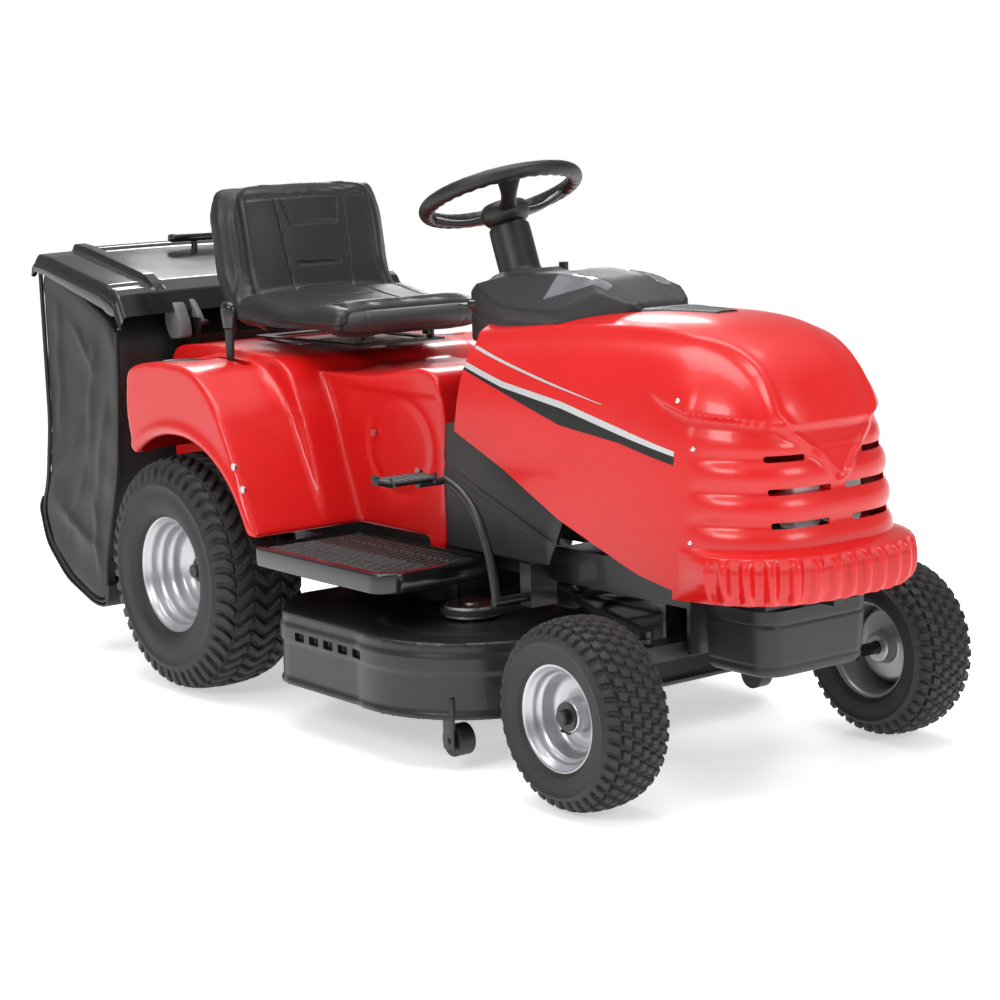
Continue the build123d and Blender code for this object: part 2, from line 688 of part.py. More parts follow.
# ---------------------------------------------------------------- seat
def seat():
    with BuildPart() as bracket:
        slab((-150, 210), (-110, -90), (670, 674))
        slab((-150, 210), (90, 110), (670, 674))
        slab((170, 210), (-110, 110), (670, 674))
        slab((-150, -120), (-110, 110), (670, 674))
        for hand in SIDES.values():
            slab((184, 202), mirrored((84, 90), hand), (670, 698))
            pin_y(193, 688, 5, mirrored((70, 90), hand))
    save(bracket, "seat_bracket")

    with BuildPart() as pan:
        slab((-110, 206), (-120, 120), (703, 707))
        for hand in SIDES.values():
            slab((184, 202), mirrored((74, 81), hand), (681, 704))
            pin_y(193, 688, 5 + FIT, mirrored((60, 83), hand), mode=Mode.SUBTRACT)
    save(pan, "seat_pan")

    with BuildPart() as cushion:
        with BuildSketch(side()):
            outline([(-118, 708), (262, 708), (285, 724), (285, 744), (258, 758), (-20, 754), (-62, 776),
                     (-110, 950), (-130, 986), (-162, 984), (-174, 955), (-146, 770)])
        extrude(amount=198, both=True)
        fillet(cushion.faces().filter_by(Axis.Y).edges(), 9)
    save(cushion, "seat_cushion")


# ---------------------------------------------------------------- grass collector
def bag_profile():
    """Side view of the grass bag."""
    return [(-300, 660), (-303, 575), (-322, 400), (-402, 170), (-392, 104), (-440, 112), (-600, 172),
            (-664, 286), (-632, 335), (-606, 480), (-614, 806)]


def collector():
    with BuildPart() as bag:
        with BuildSketch(side()):
            outline(bag_profile())
        extrude(amount=355, both=True)
        with BuildSketch(side()):
            outline(bag_profile())
            offset(amount=-PLASTIC)
        extrude(amount=351, both=True, mode=Mode.SUBTRACT)
        slab((-345, -298), (-150, 150), (370, 570), mode=Mode.SUBTRACT)
        with BuildSketch(side()):
            outline([(-312, 640), (-606, 776), (-606, 820), (-312, 690)])
        extrude(amount=351, both=True, mode=Mode.SUBTRACT)
    save(bag, "collector_bag")

    with BuildPart() as lid:
        with BuildSketch(side()):
            outline([(-262, 716), (-268, 744), (-330, 790), (-575, 840), (-622, 848), (-626, 814), (-300, 664),
                     (-296, 700)])
        extrude(amount=362, both=True)
        with BuildSketch(side()):
            outline([(-272, 718), (-276, 740), (-334, 784), (-575, 835), (-618, 842), (-622, 820), (-640, 760),
                     (-296, 600), (-290, 706)])
        extrude(amount=357, both=True, mode=Mode.SUBTRACT)
        for hand in SIDES.values():
            with BuildSketch(side(hand * 178)):
                with Locations((-245, 700)):
                    Circle(14)
                outline([(-245, 700), (-250, 714), (-272, 744), (-310, 768), (-296, 712), (-276, 704)])
            extrude(amount=hand * 10)
            pin_y(-245, 700, 6 + FIT, mirrored((160, 180), hand), mode=Mode.SUBTRACT)
        post(-560, 0, 7 + FIT, (790, 860), mode=Mode.SUBTRACT)
    save(lid, "collector_lid")

    with BuildPart() as handle:
        post(-560, 0, 7, (560, 852))
        pin_y(-560, 856, 10, (-60, 60))
    save(handle, "collector_handle")


def body_screws():
    """Screw heads that hold the rear body and the tunnel."""
    with BuildPart() as screws:
        for hand in SIDES.values():
            for x, z in ((340, 520), (480, 460)):
                pin_y(x, z, 7, mirrored((160, 164), hand))
            for x, z in ((225, 470), (255, 430)):
                pin_y(x, z, 7, mirrored((402, 406), hand))
    save(screws, "body_screws")


chassis_frame()
rear_plate()
front_cover()
engine()
transmission()
discharge_chute()
fender_body()
tower_cover()
dash_console()
footboards()
bonnet()
wheels()
front_axle()
knuckles()
tie_rod()
drag_link()
steering()
deck()
controls()
seat()
collector()
body_screws()
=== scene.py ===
"""Looks of the ride-on lawn mower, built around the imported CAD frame.

Points are given in metres from the rear axle: x forward, y to the driver's left, z up.
AXLE_X moves them into the frame.
"""
import json
import math

import bmesh
import bpy
import numpy as np
from mathutils import Matrix, Vector
from mathutils.bvhtree import BVHTree


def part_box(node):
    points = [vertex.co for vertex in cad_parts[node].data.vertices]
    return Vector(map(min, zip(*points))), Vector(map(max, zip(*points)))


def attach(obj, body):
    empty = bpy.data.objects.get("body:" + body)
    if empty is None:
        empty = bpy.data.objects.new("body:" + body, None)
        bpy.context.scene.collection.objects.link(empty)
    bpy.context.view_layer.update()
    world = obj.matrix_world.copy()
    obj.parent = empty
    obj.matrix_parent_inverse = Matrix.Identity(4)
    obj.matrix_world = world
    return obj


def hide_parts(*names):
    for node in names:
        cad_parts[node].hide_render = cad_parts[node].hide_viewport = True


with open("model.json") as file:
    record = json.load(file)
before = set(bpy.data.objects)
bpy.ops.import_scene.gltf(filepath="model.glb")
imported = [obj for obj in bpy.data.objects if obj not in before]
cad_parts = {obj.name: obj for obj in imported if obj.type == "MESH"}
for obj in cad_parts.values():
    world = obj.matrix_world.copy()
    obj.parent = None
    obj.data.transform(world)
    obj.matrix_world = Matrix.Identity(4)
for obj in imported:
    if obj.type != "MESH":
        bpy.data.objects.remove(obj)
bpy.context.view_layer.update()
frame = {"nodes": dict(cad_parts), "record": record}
RIM_LOW, RIM_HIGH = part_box("rear_rim_right")
AXLE_X = (RIM_LOW.x + RIM_HIGH.x) / 2
SIDES = {"right": -1, "left": 1}
WHEELBASE = 1.180
REAR_RADIUS, REAR_WIDTH, REAR_Y = 0.235, 0.190, 0.342
FRONT_RADIUS, FRONT_WIDTH, FRONT_Y = 0.160, 0.134, 0.354


# ---------------------------------------------------------------- numbers and curves
def smooth(low, high, value):
    """Smooth step from 0 at low to 1 at high."""
    t = np.clip((value - low) / (high - low), 0, 1)
    return t * t * (3 - 2 * t)


def bump(value, centre, width):
    return np.exp(-((value - centre) / width) ** 2)


def wave_noise(points, seed, scale):
    """Smooth pseudo-random field from fixed sine waves, about -1 to 1."""
    rng = np.random.default_rng(seed)
    total = np.zeros(len(points))
    for _ in range(9):
        direction = rng.normal(size=3)
        direction /= np.linalg.norm(direction)
        total += np.sin(points @ direction * rng.uniform(0.6, 1.8) / scale * 6.28 + rng.uniform(0, 6.28))
    return total / 4


def resample(points, count, closed=False):
    """Points at equal arc length along a polyline."""
    points = np.asarray(points, float)
    if closed:
        points = np.vstack([points, points[:1]])
    steps = np.linalg.norm(np.diff(points, axis=0), axis=1)
    length = np.concatenate([[0], np.cumsum(steps)])
    wanted = np.linspace(0, length[-1], count, endpoint=not closed)
    return np.stack([np.interp(wanted, length, points[:, k]) for k in range(points.shape[1])], -1)


def rounded(points, radius, closed=True, steps=6):
    """Polygon with its corners replaced by arcs of Bezier form."""
    points = [np.asarray(p, float) for p in points]
    count = len(points)
    made = []
    for i, p in enumerate(points):
        if not closed and i in (0, count - 1):
            made.append(p)
            continue
        before, after = points[i - 1] - p, points[(i + 1) % count] - p
        cut = min(radius, np.linalg.norm(before) * 0.48, np.linalg.norm(after) * 0.48)
        a = p + before / np.linalg.norm(before) * cut
        b = p + after / np.linalg.norm(after) * cut
        for t in np.linspace(0, 1, steps):
            made.append(a * (1 - t) ** 2 + 2 * p * t * (1 - t) + b * t * t)
    return np.array(made)


# ---------------------------------------------------------------- meshes
def piece(name, points, faces, surface, body, slot, replaces=(), smooth_angle=40, place=True):
    """New object from points in rear-axle metres, riding on a body."""
    mesh = bpy.data.meshes.new(name)
    points = np.asarray(points, float).copy()
    if place:
        points[:, 0] += AXLE_X
    mesh.from_pydata(points.tolist(), [], [list(map(int, f)) for f in faces])
    mesh.update()
    made = bpy.data.objects.new(name, mesh)
    bpy.context.scene.collection.objects.link(made)
    finish_piece(made, surface, body, replaces, smooth_angle)
    return made


def finish_piece(made, surface, body, replaces=(), smooth_angle=40):
    made.data.materials.clear()
    made.data.materials.append(surface)
    tidy_mesh(made, smooth_angle)
    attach(made, body)
    if replaces:
        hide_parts(*replaces)
    return made


def tidy_mesh(made, smooth_angle=40):
    """Merged doubles, outward normals, smooth shading with sharp edges kept."""
    form = bmesh.new()
    form.from_mesh(made.data)
    bmesh.ops.remove_doubles(form, verts=form.verts, dist=1e-5)
    bmesh.ops.recalc_face_normals(form, faces=form.faces)
    form.to_mesh(made.data)
    form.free()
    made.data.shade_smooth()
    made.data.set_sharp_from_angle(angle=math.radians(smooth_angle))


def grid(points, wrap_u=False, wrap_v=False):
    """Vertices and quads of an (m, n, 3) array."""
    rows, columns = points.shape[:2]
    i = np.arange(rows if wrap_u else rows - 1)
    j = np.arange(columns if wrap_v else columns - 1)
    a, b = np.meshgrid(i, j, indexing="ij")
    a2, b2 = (a + 1) % rows, (b + 1) % columns
    quads = np.stack([a * columns + b, a2 * columns + b, a2 * columns + b2, a * columns + b2], -1)
    return points.reshape(-1, 3), quads.reshape(-1, 4)


def joined(parts):
    """One list of vertices and faces from several."""
    points, faces, start = [], [], 0
    for p, f in parts:
        points.append(np.asarray(p, float))
        faces += [[int(k) + start for k in face] for face in f]
        start += len(p)
    return np.vstack(points), faces


def with_caps(part, rings):
    """Adds a flat face over each ring of vertex numbers."""
    points, faces = part
    return points, [list(f) for f in faces] + [list(map(int, r)) for r in rings]


def prism(outline, low, high, axis="y"):
    """Outline (two coordinates) pushed from low to high along the axis, closed."""
    outline = np.asarray(outline, float)
    count = len(outline)
    ends = []
    for level in (low, high):
        full = np.full(count, float(level))
        if axis == "y":
            ends.append(np.stack([outline[:, 0], full, outline[:, 1]], -1))
        elif axis == "z":
            ends.append(np.stack([outline[:, 0], outline[:, 1], full], -1))
        else:
            ends.append(np.stack([full, outline[:, 0], outline[:, 1]], -1))
    points = np.vstack(ends)
    faces = [[i, (i + 1) % count, count + (i + 1) % count, count + i] for i in range(count)]
    faces += [list(range(count))[::-1], list(range(count, 2 * count))]
    return points, faces


def block(low, high):
    (x0, y0, z0), (x1, y1, z1) = low, high
    return prism([(x0, z0), (x1, z0), (x1, z1), (x0, z1)], y0, y1)


def bevelled(part, width, segments=3):
    """Same part with every sharp edge rounded."""
    form = bmesh.new()
    points, faces = part
    corners = [form.verts.new(p) for p in points]
    for f in faces:
        form.faces.new([corners[k] for k in f])
    bmesh.ops.recalc_face_normals(form, faces=form.faces)
    sharp = [e for e in form.edges if len(e.link_faces) == 2 and e.calc_face_angle(0) > 0.6]
    bmesh.ops.bevel(form, geom=sharp, offset=width, segments=segments, affect="EDGES", profile=0.5)
    form.verts.index_update()
    made = [tuple(v.co) for v in form.verts], [[v.index for v in f.verts] for f in form.faces]
    form.free()
    return made


def tube(path, radius, sides=16, capped=True, flat=1.0):
    """Round bar along a path; radius may change from point to point."""
    path = np.asarray(path, float)
    radii = np.broadcast_to(np.asarray(radius, float), (len(path),))
    tangents = np.gradient(path, axis=0)
    tangents /= np.linalg.norm(tangents, axis=1)[:, None]
    normal = np.cross(tangents[0], (0, 0, 1.0))
    if np.linalg.norm(normal) < 0.2:
        normal = np.cross(tangents[0], (0, 1.0, 0))
    rows = []
    for p, t, r in zip(path, tangents, radii):
        normal = normal - t * (normal @ t)
        normal /= np.linalg.norm(normal)
        other = np.cross(t, normal)
        angles = np.linspace(0, 2 * math.pi, sides, endpoint=False)
        rows.append(p + r * (np.cos(angles)[:, None] * normal + flat * np.sin(angles)[:, None] * other))
    part = grid(np.array(rows), wrap_v=True)
    if capped:
        last = len(path) * sides
        part = with_caps(part, [range(sides), range(last - sides, last)])
    return part


def revolve(section, centre, axis, steps=96):
    """Section of (radius, along) pairs turned about an axis through centre."""
    axis = np.asarray(axis, float) / np.linalg.norm(axis)
    helper = np.array((0, 0, 1.0)) if abs(axis[2]) < 0.9 else np.array((1.0, 0, 0))
    u = np.cross(helper, axis)
    u /= np.linalg.norm(u)
    v = np.cross(axis, u)
    angles = np.linspace(0, 2 * math.pi, steps, endpoint=False)
    section = np.asarray(section, float)
    rings = (np.cos(angles)[:, None, None] * u + np.sin(angles)[:, None, None] * v) * section[None, :, :1]
    return grid(rings + axis * section[None, :, 1:] + np.asarray(centre, float), wrap_u=True)


def evaluated(made):
    """Applies the object's modifiers to its mesh."""
    graph = bpy.context.evaluated_depsgraph_get()
    mesh = bpy.data.meshes.new_from_object(made.evaluated_get(graph))
    old = made.data
    made.modifiers.clear()
    made.data = mesh
    bpy.data.meshes.remove(old)
    return made


def thicken(made, thickness):
    """Gives a skin a wall on its inner side."""
    wall = made.modifiers.new("wall", "SOLIDIFY")
    wall.thickness = thickness
    wall.offset = -1
    return evaluated(made)


def raw(name, part):
    """Plain object in rear-axle metres, used while a piece is being formed."""
    points, faces = part
    mesh = bpy.data.meshes.new(name)
    mesh.from_pydata([tuple(map(float, p)) for p in points], [], [list(map(int, f)) for f in faces])
    mesh.update()
    made = bpy.data.objects.new(name, mesh)
    bpy.context.scene.collection.objects.link(made)
    form = bmesh.new()
    form.from_mesh(mesh)
    bmesh.ops.remove_doubles(form, verts=form.verts, dist=1e-6)
    bmesh.ops.recalc_face_normals(form, faces=form.faces)
    form.to_mesh(mesh)
    form.free()
    return made


def boolean(made, tool_part, operation="DIFFERENCE", solver="EXACT"):
    tool = raw("tool", tool_part)
    change = made.modifiers.new("cut", "BOOLEAN")
    change.operation = operation
    change.solver = solver
    change.object = tool
    evaluated(made)
    mesh = tool.data
    bpy.data.objects.remove(tool)
    bpy.data.meshes.remove(mesh)
    return made


def remeshed(made, voxel, relax=6, factor=0.5):
    """Even mesh with softened edges."""
    change = made.modifiers.new("even", "REMESH")
    change.mode = "VOXEL"
    change.voxel_size = voxel
    if relax:
        soft = made.modifiers.new("soft", "SMOOTH")
        soft.iterations = relax
        soft.factor = factor
    return evaluated(made)


def coordinates(made):
    points = np.empty(len(made.data.vertices) * 3, np.float32)
    made.data.vertices.foreach_get("co", points)
    return points.reshape(-1, 3).astype(float)


def normals(made):
    made.data.update()
    found = np.empty(len(made.data.vertices) * 3, np.float32)
    made.data.vertex_normals.foreach_get("vector", found)
    return found.reshape(-1, 3).astype(float)


def move_points(made, points):
    made.data.vertices.foreach_set("co", np.asarray(points, np.float32).ravel())
    made.data.update()


def shift_into_frame(made):
    points = coordinates(made)
    points[:, 0] += AXLE_X
    move_points(made, points)
    return made


# ---------------------------------------------------------------- materials
def material(name, colour, rough, metal=0.0, coat=0.0, grain=900.0, depth=0.15, vary=0.12, rough_vary=0.08,
        pattern="noise", sheen=0.0):
    """Procedural surface: colour and roughness drift with noise, and a fine grain gives the bump."""
    made = bpy.data.materials.new(name)
    made.use_nodes = True
    nodes, links = made.node_tree.nodes, made.node_tree.links
    shader = nodes["Principled BSDF"]
    shader.inputs["Metallic"].default_value = metal
    shader.inputs["Coat Weight"].default_value = coat
    shader.inputs["Coat Roughness"].default_value = 0.06
    shader.inputs["Specular IOR Level"].default_value = 0.5
    shader.inputs["Sheen Weight"].default_value = sheen
    where = nodes.new("ShaderNodeTexCoord")
    drift = nodes.new("ShaderNodeTexNoise")
    drift.inputs["Scale"].default_value = 9.0
    drift.inputs["Detail"].default_value = 6.0
    links.new(where.outputs["Object"], drift.inputs["Vector"])
    ramp = nodes.new("ShaderNodeValToRGB")
    ramp.color_ramp.elements[0].position = 0.15
    ramp.color_ramp.elements[1].position = 0.85
    for element, share in zip(ramp.color_ramp.elements, (1 - vary, 1 + vary)):
        element.color = (*[min(1.0, c * share) for c in colour], 1)
    links.new(drift.outputs["Fac"], ramp.inputs["Fac"])
    links.new(ramp.outputs["Color"], shader.inputs["Base Color"])
    spread = nodes.new("ShaderNodeMapRange")
    spread.inputs["From Min"].default_value = 0.15
    spread.inputs["From Max"].default_value = 0.85
    spread.inputs["To Min"].default_value = max(0.02, rough - rough_vary)
    spread.inputs["To Max"].default_value = rough + rough_vary
    links.new(drift.outputs["Fac"], spread.inputs["Value"])
    links.new(spread.outputs["Result"], shader.inputs["Roughness"])
    if pattern == "leather":
        fine = nodes.new("ShaderNodeTexVoronoi")
        fine.inputs["Scale"].default_value = grain
        height = fine.outputs["Distance"]
    elif pattern == "weave":
        fine = nodes.new("ShaderNodeTexWave")
        fine.inputs["Scale"].default_value = grain
        fine.bands_direction = "Z"
        cross = nodes.new("ShaderNodeTexWave")
        cross.inputs["Scale"].default_value = grain
        cross.bands_direction = "DIAGONAL"
        links.new(where.outputs["Object"], cross.inputs["Vector"])
        mix = nodes.new("ShaderNodeMath")
        mix.operation = "MULTIPLY"
        links.new(fine.outputs["Fac"], mix.inputs[0])
        links.new(cross.outputs["Fac"], mix.inputs[1])
        height = mix.outputs["Value"]
    else:
        fine = nodes.new("ShaderNodeTexNoise")
        fine.inputs["Scale"].default_value = grain
        fine.inputs["Detail"].default_value = 3.0
        height = fine.outputs["Fac"]
    links.new(where.outputs["Object"], fine.inputs["Vector"])
    relief = nodes.new("ShaderNodeBump")
    relief.inputs["Strength"].default_value = depth
    relief.inputs["Distance"].default_value = 0.0006
    links.new(height, relief.inputs["Height"])
    links.new(relief.outputs["Normal"], shader.inputs["Normal"])
    return made


RED = material("red_panel", (0.62, 0.0065, 0.006), 0.30, coat=0.22, grain=160, depth=0.05, vary=0.04,
    rough_vary=0.04)
PLASTIC = material("black_plastic", (0.0070, 0.0074, 0.0078), 0.42, grain=1400, depth=0.35)
GREY_PLASTIC = material("charcoal_plastic", (0.0145, 0.0155, 0.0165), 0.44, grain=1400, depth=0.35)
GLOSS = material("gloss_black", (0.007, 0.007, 0.0075), 0.18, coat=0.4, grain=120, depth=0.06, vary=0.1,
    rough_vary=0.05)
STEEL_BLACK = material("black_steel", (0.008, 0.0085, 0.009), 0.40, grain=500, depth=0.12, coat=0.15)
WHEEL_SILVER = material("wheel_silver", (0.50, 0.51, 0.53), 0.32, metal=0.75, grain=700, depth=0.15,
    vary=0.05)
TYRE = material("tyre_rubber", (0.014, 0.014, 0.0138), 0.62, grain=700, depth=0.4, vary=0.2)
VINYL = material("black_vinyl", (0.0085, 0.0092, 0.0098), 0.42, grain=420, depth=0.22, pattern="leather",
    sheen=0.05)
BAND = material("grey_vinyl", (0.030, 0.033, 0.035), 0.44, grain=420, depth=0.22, pattern="leather",
    sheen=0.05)
GREY_RUBBER = material("grey_rubber", (0.018, 0.019, 0.020), 0.55, grain=800, depth=0.3)
ALUMINIUM = material("cast_aluminium", (0.50, 0.51, 0.52), 0.45, metal=0.9, grain=350, depth=0.3)
BRIGHT = material("bright_steel", (0.62, 0.62, 0.61), 0.26, metal=1.0, grain=600, depth=0.08)
WINDOW = material("window_panel", (0.16, 0.165, 0.18), 0.14, coat=0.8, grain=90, depth=0.03, vary=0.08)
LAMP = material("lamp_lens", (0.75, 0.76, 0.78), 0.12, coat=0.8, grain=300, depth=0.2)
BELT = material("belt_rubber", (0.02, 0.02, 0.02), 0.6, grain=500, depth=0.3)
CLOTH = material("bag_cloth", (0.0085, 0.0095, 0.0100), 0.52, grain=90, depth=0.25, pattern="weave",
    sheen=0.05)
BRACKET = material("grey_bracket", (0.13, 0.135, 0.14), 0.40, grain=500, depth=0.2)
SILVER_FILM = material("silver_film", (0.62, 0.62, 0.62), 0.30, metal=0.35, grain=300, depth=0.03,
    vary=0.03)
BLACK_FILM = material("black_film", (0.004, 0.004, 0.004), 0.35, grain=300, depth=0.03)
DARK = material("deep_black", (0.004, 0.004, 0.004), 0.7, grain=500, depth=0.1)

CAD_SURFACES = {
    "red_panel": RED, "black_plastic": PLASTIC, "dark_grey_plastic": GREY_PLASTIC, "black_steel": STEEL_BLACK,
    "silver_wheel": WHEEL_SILVER, "tyre_rubber": TYRE, "vinyl": VINYL, "grey_rubber": GREY_RUBBER,
    "aluminium": ALUMINIUM, "bright_steel": BRIGHT, "window": WINDOW, "lamp": LAMP, "belt": BELT,
    "bag_cloth": CLOTH,
}


def dress_cad_nodes():
    """Every carried-over CAD node gets its slot's procedural material."""
    for entry in frame["record"]["subparts"]:
        for holder in frame["nodes"][entry["node"]].material_slots:
            holder.material = CAD_SURFACES[entry["material_slot"]]


# ---------------------------------------------------------------- camera, floor and light
CAMERA_PLACE = Vector((4.1247, -2.7885, 1.1325))
CAMERA_RIGHT = Vector((0.61490, 0.78816, -0.02661))
CAMERA_UP = Vector((-0.11051, 0.11952, 0.98666))
LENS_MM = 87.806
FLOOR_REACH = 25
WORLD_TONES = ((0.0, 1.0), (0.055, 1.0), (0.11, 0.34), (0.60, 0.30), (0.80, 0.85), (1.0, 1.0))
LAMPS = (
    ("top", (0.2, -0.4, 3.6), (0, 0, 0.4), 3.2, 80, 2.2),
    ("key", (1.2, -3.6, 2.6), (0.1, 0, 0.5), 1.6, 50, 1.0),
    ("front", (3.8, 0.6, 1.8), (0.4, 0, 0.5), 1.2, 30, 1.2),
    ("rim", (-2.6, 1.8, 2.6), (-0.3, 0, 0.6), 1.6, 50, 0.8),
)


def lamp(name, place, aim, size, power, wide):
    """Rectangular area lamp turned towards aim."""
    data = bpy.data.lights.new(name, "AREA")
    data.shape = "RECTANGLE"
    data.size, data.size_y = size, wide
    data.energy = power
    made = bpy.data.objects.new(name, data)
    bpy.context.scene.collection.objects.link(made)
    made.location = Vector(place)
    made.rotation_euler = (Vector(aim) - Vector(place)).to_track_quat("-Z", "Y").to_euler()


def studio():
    """Camera, pale floor, world that is white at the horizon and dim above it, and four lamps."""
    centre = Vector((AXLE_X, 0, 0))
    place = centre + CAMERA_PLACE
    ahead = -CAMERA_RIGHT.cross(CAMERA_UP)
    camera = bpy.data.objects.new("camera", bpy.data.cameras.new("camera"))
    bpy.context.scene.collection.objects.link(camera)
    turn = Matrix((CAMERA_RIGHT, CAMERA_UP, -ahead)).transposed()
    camera.matrix_world = Matrix.Translation(place) @ turn.to_4x4()
    camera.data.sensor_width = 36
    camera.data.lens = LENS_MM
    camera.data.clip_start, camera.data.clip_end = 0.05, 60
    bpy.context.scene.camera = camera

    floor = raw("floor", grid(np.array([[(x, y, 0.0) for y in (-FLOOR_REACH, FLOOR_REACH)]
        for x in (-FLOOR_REACH, FLOOR_REACH)], float)))
    paper = bpy.data.materials.new("pale_floor")
    paper.use_nodes = True
    paint = paper.node_tree.nodes["Principled BSDF"]
    paint.inputs["Base Color"].default_value = (0.93, 0.93, 0.94, 1)
    paint.inputs["Roughness"].default_value = 0.42
    paint.inputs["Specular IOR Level"].default_value = 0.5
    paint.inputs["Emission Color"].default_value = (1, 1, 1, 1)
    paint.inputs["Emission Strength"].default_value = 0.50
    floor.data.materials.append(paper)

    world = bpy.data.worlds.new("studio")
    bpy.context.scene.world = world
    world.use_nodes = True
    nodes, links = world.node_tree.nodes, world.node_tree.links
    place_node = nodes.new("ShaderNodeTexCoord")
    split = nodes.new("ShaderNodeSeparateXYZ")
    ramp = nodes.new("ShaderNodeValToRGB")
    links.new(place_node.outputs["Generated"], split.inputs["Vector"])
    links.new(split.outputs["Z"], ramp.inputs["Fac"])
    links.new(ramp.outputs["Color"], nodes["Background"].inputs["Color"])
    nodes["Background"].inputs["Strength"].default_value = 1.0
    while len(ramp.color_ramp.elements) < len(WORLD_TONES):
        ramp.color_ramp.elements.new(0.5)
    for element, (level, tone) in zip(ramp.color_ramp.elements, WORLD_TONES):
        element.position = level
        element.color = (tone, tone, tone, 1)

    bpy.context.scene.view_settings.view_transform = "Standard"
    for values in LAMPS:
        lamp(*values)


studio()
dress_cad_nodes()


# ---------------------------------------------------------------- bonnet
NOSE_X, NOSE_REACH, HALF_WIDTH = 1.05, 0.378, 0.226
PLAN_POWER, SECTION_POWER = 3.2, 3.74
WALL_TOP, LEAN = 0.433, 0.278


def bonnet_columns():
    """Outline points round the bonnet with the spine point that each one's section rises to."""
    side = []
    for x in np.arange(0.655, NOSE_X, 0.0045):
        width = HALF_WIDTH * (0.965 + 0.035 * np.clip((x - 0.65) / 0.3, 0, 1))
        side.append(((x, -width), (x, 0.0)))
    nose = []
    for angle in np.radians(np.linspace(-90, 90, 360)):
        c, s = abs(math.cos(angle)) ** (2 / PLAN_POWER), abs(math.sin(angle)) ** (2 / PLAN_POWER)
        nose.append(((NOSE_X + NOSE_REACH * c, HALF_WIDTH * math.copysign(s, angle)), (NOSE_X, 0.0)))
    nose = [(tuple(p), q) for p, q in zip(resample([n[0] for n in nose], 330), [n[1] for n in nose])]
    far = [((x, -y), q) for (x, y), q in reversed(side)]
    return side + nose + far


def bonnet_section(outer, spine):
    """Profile from the lower edge up over the shoulder to the spine."""
    outer, spine = np.array(outer), np.array(spine)
    top = np.interp(spine[0], (0.65, 0.85, 1.05), (0.750, 0.767, 0.776))
    low = np.interp(outer[0], (0.652, 0.805, 0.967, 1.171, 1.291, 1.386),
        (0.557, 0.503, 0.433, 0.367, 0.342, 0.341))
    profile = []
    for z in np.linspace(min(low, WALL_TOP - 0.001), WALL_TOP, 16):
        profile.append((0.0, z))
    for phi in np.radians(np.linspace(0, 90, 140)):
        k = 1 - math.cos(phi) ** (2 / SECTION_POWER)
        profile.append((k, WALL_TOP + (top - WALL_TOP) * math.sin(phi) ** (2 / SECTION_POWER)))
    profile = np.array(profile)
    k, z = profile[:, 0], profile[:, 1]
    k = k + LEAN * (z - 0.34) * (1 - k)
    points = np.column_stack([outer[0] + (spine[0] - outer[0]) * k, outer[1] * (1 - k), z])
    keep = points[:, 2] > low + 1e-6
    start = [np.interp(low, points[:, 2], points[:, k]) for k in range(3)]
    return resample(np.vstack([start, points[keep]]), 210)


SLOTS = ((0.566, 0.064), (0.514, 0.016), (0.461, 0.026))
SLOT_END = 0.131
RIDGE_PATH = (0.04, 0.254, 0.46, 0.585, 0.678, 0.762, 0.862, 0.912, 0.940, 1.010)
RIDGE_WIDTH = (0.142, 0.134, 0.134, 0.130, 0.114, 0.105, 0.104, 0.084, 0.056, 0.0)


def bonnet_relief(p):
    """Height above the base surface: centre dome, ridges, brow, louvre rolls and V panel."""
    x, y, z = p[:, 0], np.abs(p[:, 1]), p[:, 2]
    path = (x - 0.65) + (0.776 - z)
    edge = np.interp(path, RIDGE_PATH, RIDGE_WIDTH)
    front = smooth(0.60, 0.80, path)
    reach = smooth(1.015, 0.995, path)
    inside = smooth(0.007, -0.007, y - edge) * reach
    upper = smooth(0.606, 0.618, z)
    height = (0.0040 + 0.0045 * front) * inside * upper
    rib = bump(y - edge, 0.001, 0.009) * (0.0016 + 0.0044 * smooth(0.56, 0.80, path)) * reach
    height += rib
    height -= 0.0030 * bump(y - edge, 0.017, 0.012) * smooth(1.0, 0.7, path)
    brow_line = np.interp(x, (1.145, 1.20, 1.251, 1.329, 1.375, 1.42),
        (0.673, 0.648, 0.632, 0.626, 0.618, 0.612))
    fade = smooth(1.15, 1.26, x)
    above = z - brow_line
    height += 0.0095 * fade * smooth(-0.004, 0.004, above) * smooth(0.115, 0.0, above) * (1 - inside)
    height -= 0.0030 * fade * bump(above, -0.014, 0.012) * (1 - inside)
    roll = smooth(1.25, 1.33, x)
    panel = inside * (1 - upper)
    for level, _ in SLOTS:
        height -= 0.0050 * roll * bump(z, level, 0.011) * (1 - panel)
        height += 0.0022 * roll * bump(z, level - 0.027, 0.016)
    beak = smooth(0.004, -0.004, y - (z - 0.522) * 0.98) * smooth(0.588, 0.574, z) * smooth(1.3, 1.35, x)
    height += 0.0065 * beak * smooth(0.520, 0.540, z)
    shoulder = np.interp(x, (0.66, 1.0), (0.716, 0.700))
    height += 0.0022 * bump(z, shoulder, 0.009) * smooth(1.02, 0.75, x) * smooth(0.16, 0.19, y)
    height += 0.0014 * smooth(1.272, 1.255, x) * smooth(0.70, 0.66, z)
    return height


def bonnet_surface():
    rows = np.array([bonnet_section(*column) for column in bonnet_columns()])
    along = np.gradient(rows, axis=0)
    up = np.gradient(rows, axis=1)
    normal = np.cross(along, up)
    length = np.linalg.norm(normal, axis=2, keepdims=True)
    normal = normal / np.maximum(length, 1e-9)
    weak = length[:, :, 0] < 1e-8
    normal[weak] = (0, 0, 1)
    flat = rows.reshape(-1, 3)
    outward = np.sign(np.einsum("ij,ij->i", normal.reshape(-1, 3), flat - np.array((1.0, 0, 0.45))))
    unit = normal.reshape(-1, 3) * outward[:, None]
    return (flat + unit * bonnet_relief(flat)[:, None]).reshape(rows.shape)


